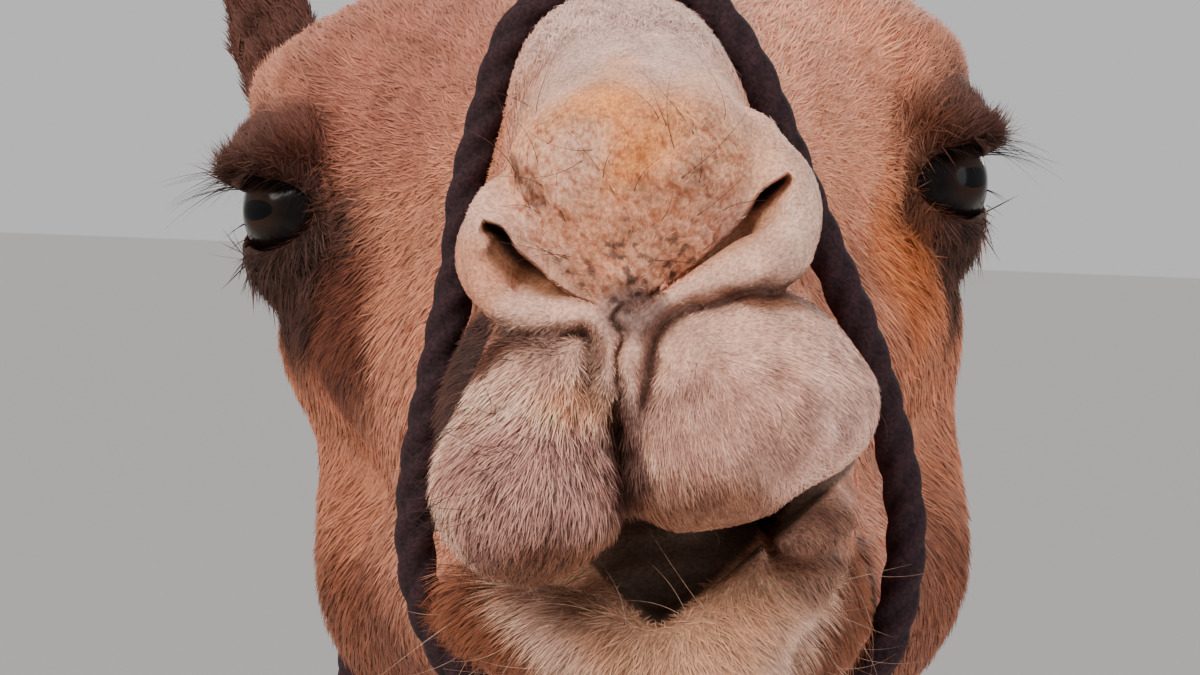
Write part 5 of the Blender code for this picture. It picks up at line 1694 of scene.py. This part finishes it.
def grow(
    name, density, count, seed, length, width, lift, wild=0.25, tip=1.25, root=0.72, shade=None,
    bend=0.35, spread=0.14
):
    """Blades over the skin where the density calls for them. Most values may differ over its faces."""
    draw = np.random.default_rng(seed)
    share = np.cumsum(skin_areas * density)
    face = np.searchsorted(share, (np.arange(count) + draw.random(count)) / count * share[-1])
    face = np.minimum(face, len(skin_faces) - 1)
    a, b = draw.random((2, count))
    fold = a + b > 1
    a[fold], b[fold] = 1 - a[fold], 1 - b[fold]
    weight = np.stack([1 - a - b, a, b], 1)[..., None]
    place = (skin_corners[face] * weight).sum(1)
    normal = unit((skin_normals[skin_faces[face]] * weight).sum(1), 1e-9)
    long, wide, rise, dark, pale = [
        np.broadcast_to(v, len(skin_faces))[face] for v in (length, width, lift, root, tip)
    ]
    run = square_to(lie_of_coat(place) + wild * draw.normal(size=(count, 3)), normal, 1e-9)
    colour = hide_colour(place) if shade is None else np.tile(shade, (count, 1))
    colour = colour * draw.uniform(1 - spread, 1 + spread, (count, 1))
    return blades(
        name, place, normal, run, long * draw.uniform(0.7, 1.25, count),
        wide * draw.uniform(0.75, 1.3, count),
        rise * draw.uniform(0.5, 1.5, count), colour, draw, pale, dark, bend,
    )


rope_tree = KDTree(len(noseband_path) + len(headstall_path))
for k, point in enumerate([*noseband_path, *headstall_path]):
    rope_tree.insert(Vector(point), k)
rope_tree.balance()
may_touch = np.flatnonzero(of_head & (middles_local[:, 1] > 0.10))
under_rope = np.zeros(len(skin_faces), bool)
under_rope[may_touch] = [
    rope_tree.find(Vector(point))[2] < 1.1 * ROPE_RADIUS for point in skin_middles[may_touch]
]
MUZZLE_BACK, LID_RIM = 0.115, 0.0232  # how far back the muzzle's hair grows, and the bare rim round each eye
bare = (face_hollow < 0.16) * (from_eye > LID_RIM) * (in_mouth(middles_local) < 0.3) * ~under_rope
head_x, head_y, head_z = middles_local.T
lips = of_head * bare * (head_y < MUZZLE_BACK) * smooth_step(-0.014, -0.021, head_z)
right_lip = smooth_step(0.002, -0.008, head_x) * (head_z > -0.084)
ridges = np.exp(-(((head_x + 0.004) / 0.009) ** 2)) * smooth_step(-0.048, -0.034, head_z)
lip_long = (
    np.interp(head_y, (0.0, 0.05, 0.11), (0.0040, 0.0052, 0.0085))
    * (1 + 0.55 * right_lip + 0.8 * (head_z < -0.084))
)
lip_long = (
    lip_long * (1 - 0.6 * ridges)
    * (1 - 0.55 * smooth_step(0.010, 0.001, mouth_field(middles_local, OUTLINE_BACK)))
    * (1 - 0.5 * smooth_step(-0.034, -0.022, head_z))
)
lip_dark = 0.62 - 0.28 * right_lip
lip_pale = 1.28 + 0.52 * right_lip * smooth_step(-0.024, -0.036, head_z)
grow("coat_lips", lips * (1.0 + 1.2 * (head_y < 0.05)), 65000, 11, lip_long, 0.00023, 0.16 + 0.24 * right_lip,
     wild=0.18, tip=lip_pale, root=lip_dark, spread=0.26)
nose_zone = of_head * bare * (head_y < MUZZLE_BACK) * (1 - smooth_step(-0.014, -0.021, head_z))
nose_thin = smooth_step(0.045, 0.075, head_y)
grow("coat_nose", nose_zone * (0.6 + 0.4 * nose_thin), 42000, 12, 0.0018 + 0.0050 * nose_thin,
     0.00017 + 0.00018 * nose_thin, 0.16, wild=0.30, tip=1.16, root=0.74, spread=0.34)


# ---------------------------------------------------------------- whiskers and lashes
# Single stiff hairs: dark curved ones over the nose and the right lip, paler ones on the chin, and the long
# lashes that screen the eyes.
def whiskers(name, density, count, seed, low, high, lean, bow, shade):
    draw = np.random.default_rng(seed)
    face = draw.choice(len(skin_faces), count, p=skin_areas * density / (skin_areas * density).sum())
    roots, normal = skin_middles[face], skin_normals[skin_faces[face]].mean(1)
    run = square_to(lie_of_coat(roots) + 0.6 * draw.normal(size=(count, 3)), normal)
    angle = lean * draw.uniform(0.5, 1.5, count)[:, None]
    run = np.cos(angle) * run + np.sin(angle) * normal
    bend = np.cross(run, draw.normal(size=(count, 3)))
    bend = bow * bend / np.linalg.norm(bend, axis=1)[:, None] - 0.3 * bow * normal
    colour = np.tile(shade, (count, 1)) * draw.uniform(0.6, 1.3, (count, 1))
    return rods(name, roots, run, bend, draw.uniform(low, high, count), 0.00011, colour)


on_right_lip = (
    of_head * bare * (head_y < 0.06) * smooth_step(-0.010, -0.022, head_x) * (head_z < -0.022)
    * (head_z > -0.075)
)
on_right_lip = on_right_lip * (1 + 2.5 * smooth_step(-0.026, -0.036, head_x))
whiskers(
    "whiskers_lip", on_right_lip + 0.03 * lips * (head_y < 0.05), 520, 51, 0.007, 0.017, 0.6, 0.9,
    light(66, 44, 42)
)
whiskers(
    "whiskers_nose", nose_zone * on_plate(middles_local), 34, 52, 0.014, 0.030, 0.22, 0.75, light(74, 48, 38)
)
chin = of_head * bare * (head_y < 0.12) * (head_z < -0.090)
whiskers("whiskers_chin", chin, 160, 53, 0.012, 0.030, 0.8, 0.35, light(190, 150, 126))

LASHES = 90
for side, name in ((1, "lashes_left"), (-1, "lashes_right")):
    draw = np.random.default_rng(55)
    out = EYE_OUT if side > 0 else EYE_OUT / (1 - BROW_SPREAD)
    look = np.array((side * math.cos(LOOK_ASIDE), -math.sin(LOOK_ASIDE), 0.0))
    across = np.array((side * math.sin(LOOK_ASIDE), math.cos(LOOK_ASIDE), 0.0))
    around = draw.uniform(0.12, 0.88, LASHES) * math.pi
    lower = np.arange(LASHES) > 0.78 * LASHES
    along = (EYE_OPENING[0] + 0.001) * np.cos(around)
    height = np.where(lower, -1.0, 1.0) * (EYE_OPENING[1] + 0.0012) * np.sin(around) + 0.10 * along
    forward = np.sqrt(np.maximum(EYE_RADIUS**2 - along**2 - height**2, 0)) + 0.0012
    roots = np.array((side * out, EYE_BACK, EYE_UP)) + along[:, None] * across + forward[:, None] * look
    roots[:, 2] += height
    runs = 0.9 * look + 0.55 * np.cos(around)[:, None] * across + 0.12 * draw.normal(size=(LASHES, 3))
    runs[:, 2] += np.where(lower, -0.35, 0.10)
    bows = np.tile((0.0, 0.0, -0.35), (LASHES, 1)) + 0.10 * draw.normal(size=(LASHES, 3))
    reach = np.where(lower, 0.008, 0.021) * draw.uniform(0.7, 1.2, LASHES)
    turned_out = from_head[:3, :3]
    rods(
        name, moved(roots, from_head), runs @ turned_out.T, bows @ turned_out.T, reach, 0.00017,
        np.tile(light(46, 30, 26), (LASHES, 1)),
    )


# ---------------------------------------------------------------- coat of the face
# Short smooth hair that runs back from the nose over the bridge, cheeks and forehead. It is one sheet of
# blades on each side of the head.
face_zone = of_head * bare * (head_y >= 0.10) * (head_y < 0.46) * (on_ears < 0.3)
face_long = np.interp(head_y, (0.10, 0.20, 0.30, 0.45), (0.0085, 0.0105, 0.0125, 0.018))
for seed, (name, half) in enumerate(
    (("coat_face_left", middles_local[:, 0] >= 0), ("coat_face_right", middles_local[:, 0] < 0))
):
    grow(
        name, face_zone * half, 58000, 21 + seed, face_long, 0.00042, 0.13, wild=0.13, tip=1.20, root=0.68,
    )


# ---------------------------------------------------------------- dark hair of the lids, brows and ears
# Dark brown hair: dense over the lids and brows, soft and longer on the ears. The rims of the lids
# are left bare.
lid_zone = of_head * (from_eye > LID_RIM) * (from_eye < 0.050)
lid_zone = lid_zone * smooth_step(0.052, 0.036, from_eye) * (0.4 + (middles_local[:, 2] > 0.012))
lid_long = np.interp(from_eye, (0.022, 0.030, 0.05), (0.005, 0.009, 0.012))
grow(
    "coat_lids", lid_zone, 23000, 31, lid_long, 0.00030, 0.26, wild=0.16, tip=1.10, root=0.62,
)
ear_zone = of_head * (on_ears > 0.25)
grow("coat_ears", ear_zone, 16000, 32, 0.0065, 0.00045, 0.26, tip=1.15, root=0.6, wild=0.25)


# ---------------------------------------------------------------- coat of neck, trunk, hump, legs and tail
# Longer, looser hair on the body: woolly on the hump, the crest of the neck and the shoulders, and short on
# the legs. It is made of the same blades as the hair of the muzzle.
dx, dy, dz = middles_drawn.T
shoulder_edge = -0.55 + 0.05 * mottle(middles_drawn, 0.15, 82)
neck_zone = (
    (dy < shoulder_edge + 0.02) & (dz > 1.0) & (of_head * (head_y >= 0.44) + ~of_head > 0) & (on_ears < 0.3)
)
neck_long = np.where(dy > -1.12, 0.034, 0.026) * (1 + 0.6 * smooth_step(-1.14, -1.05, dy) * (dz > 1.5))
throat_zone = (dy < -1.20) & (dz > 1.40)
neck_long = np.where(throat_zone, 0.038, neck_long)
grow("coat_neck", neck_zone, 46000, 41, neck_long, 0.0024, 0.26, wild=0.30, tip=1.15, root=0.75)
hump_edge = 1.77 + 0.035 * mottle(middles_drawn, 0.12, 81)
trunk_zone = (dy >= shoulder_edge - 0.02) & (dz > 1.0) & (dz <= hump_edge + 0.02) & (dy < 0.86)
trunk_long = np.interp(dz, (1.0, 1.3, 1.6, 1.78), (0.022, 0.024, 0.032, 0.040))
for seed, (name, half) in enumerate((("coat_trunk_left", dx >= 0), ("coat_trunk_right", dx < 0))):
    grow(name, trunk_zone & half, 38000, 42 + seed, trunk_long, 0.0032, 0.20, wild=0.30, tip=1.12, root=0.78)
hump_zone = (dy >= shoulder_edge) & (dz > hump_edge)
hump_long, hump_lift = [np.interp(dz, (1.76, 1.92), ends) for ends in ((0.030, 0.048), (0.20, 0.42))]
grow("coat_hump", hump_zone, 28000, 45, hump_long, 0.0030, hump_lift, wild=0.50, tip=1.10, root=0.7)
leg_zone = (dy >= -1.0) & (dz <= 1.02) & (dy < 0.86) & (dz > 0.012)
grow("coat_legs", leg_zone, 40000, 46, np.interp(dz, (0, 0.12, 0.5, 1.0), (0.008, 0.012, 0.017, 0.022)),
     0.0024, 0.20, tip=1.12, root=0.78)
tail_zone = (dy >= 0.84) & (dz < 1.56)
tail_long = np.interp(dz, (0.86, 1.0, 1.2, 1.5), (0.085, 0.07, 0.045, 0.028))
grow("coat_tail", tail_zone * np.interp(dz, (0.86, 1.15, 1.5), (4.0, 1.6, 1.0)), 11000, 47, tail_long,
     0.0022, 0.16, wild=0.16, tip=0.9, root=0.5)

# ---------------------------------------------------------------- toenails
# Two blunt nails of dark horn on each foot, one in front of each toe. Each is a flattened ball, set
# into the front of the toe.
NAIL_RADII, NAIL_APART, NAIL_TURNS, NAIL_RINGS = (0.019, 0.017, 0.014), 0.036, 28, 16
ball_points, ball_faces = ball_net(NAIL_RINGS, NAIL_TURNS)[:2]
nail_middles = [
    foot_middle(name) + (toe * NAIL_APART, -0.88 * foot[1], 0.019) + drawn_shift
    for name, (_, _, foot, _) in LEGS.items() for toe in (-1, 1)
]
nail_points = np.concatenate([middle + np.array(NAIL_RADII) * ball_points for middle in nail_middles])
nail_faces = np.concatenate([ball_faces + k * len(ball_points) for k in range(len(nail_middles))])
nails_mesh = mesh_from("toenails", nail_points, nail_faces)
paint(nails_mesh, np.tile(light(70, 56, 48), (len(nail_points), 1)))
nails_mesh.materials.append(hide_material("horn", 0.25, 0.0003, 0.45))
nails = linked("toenails", nails_mesh)
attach(nails, "root")
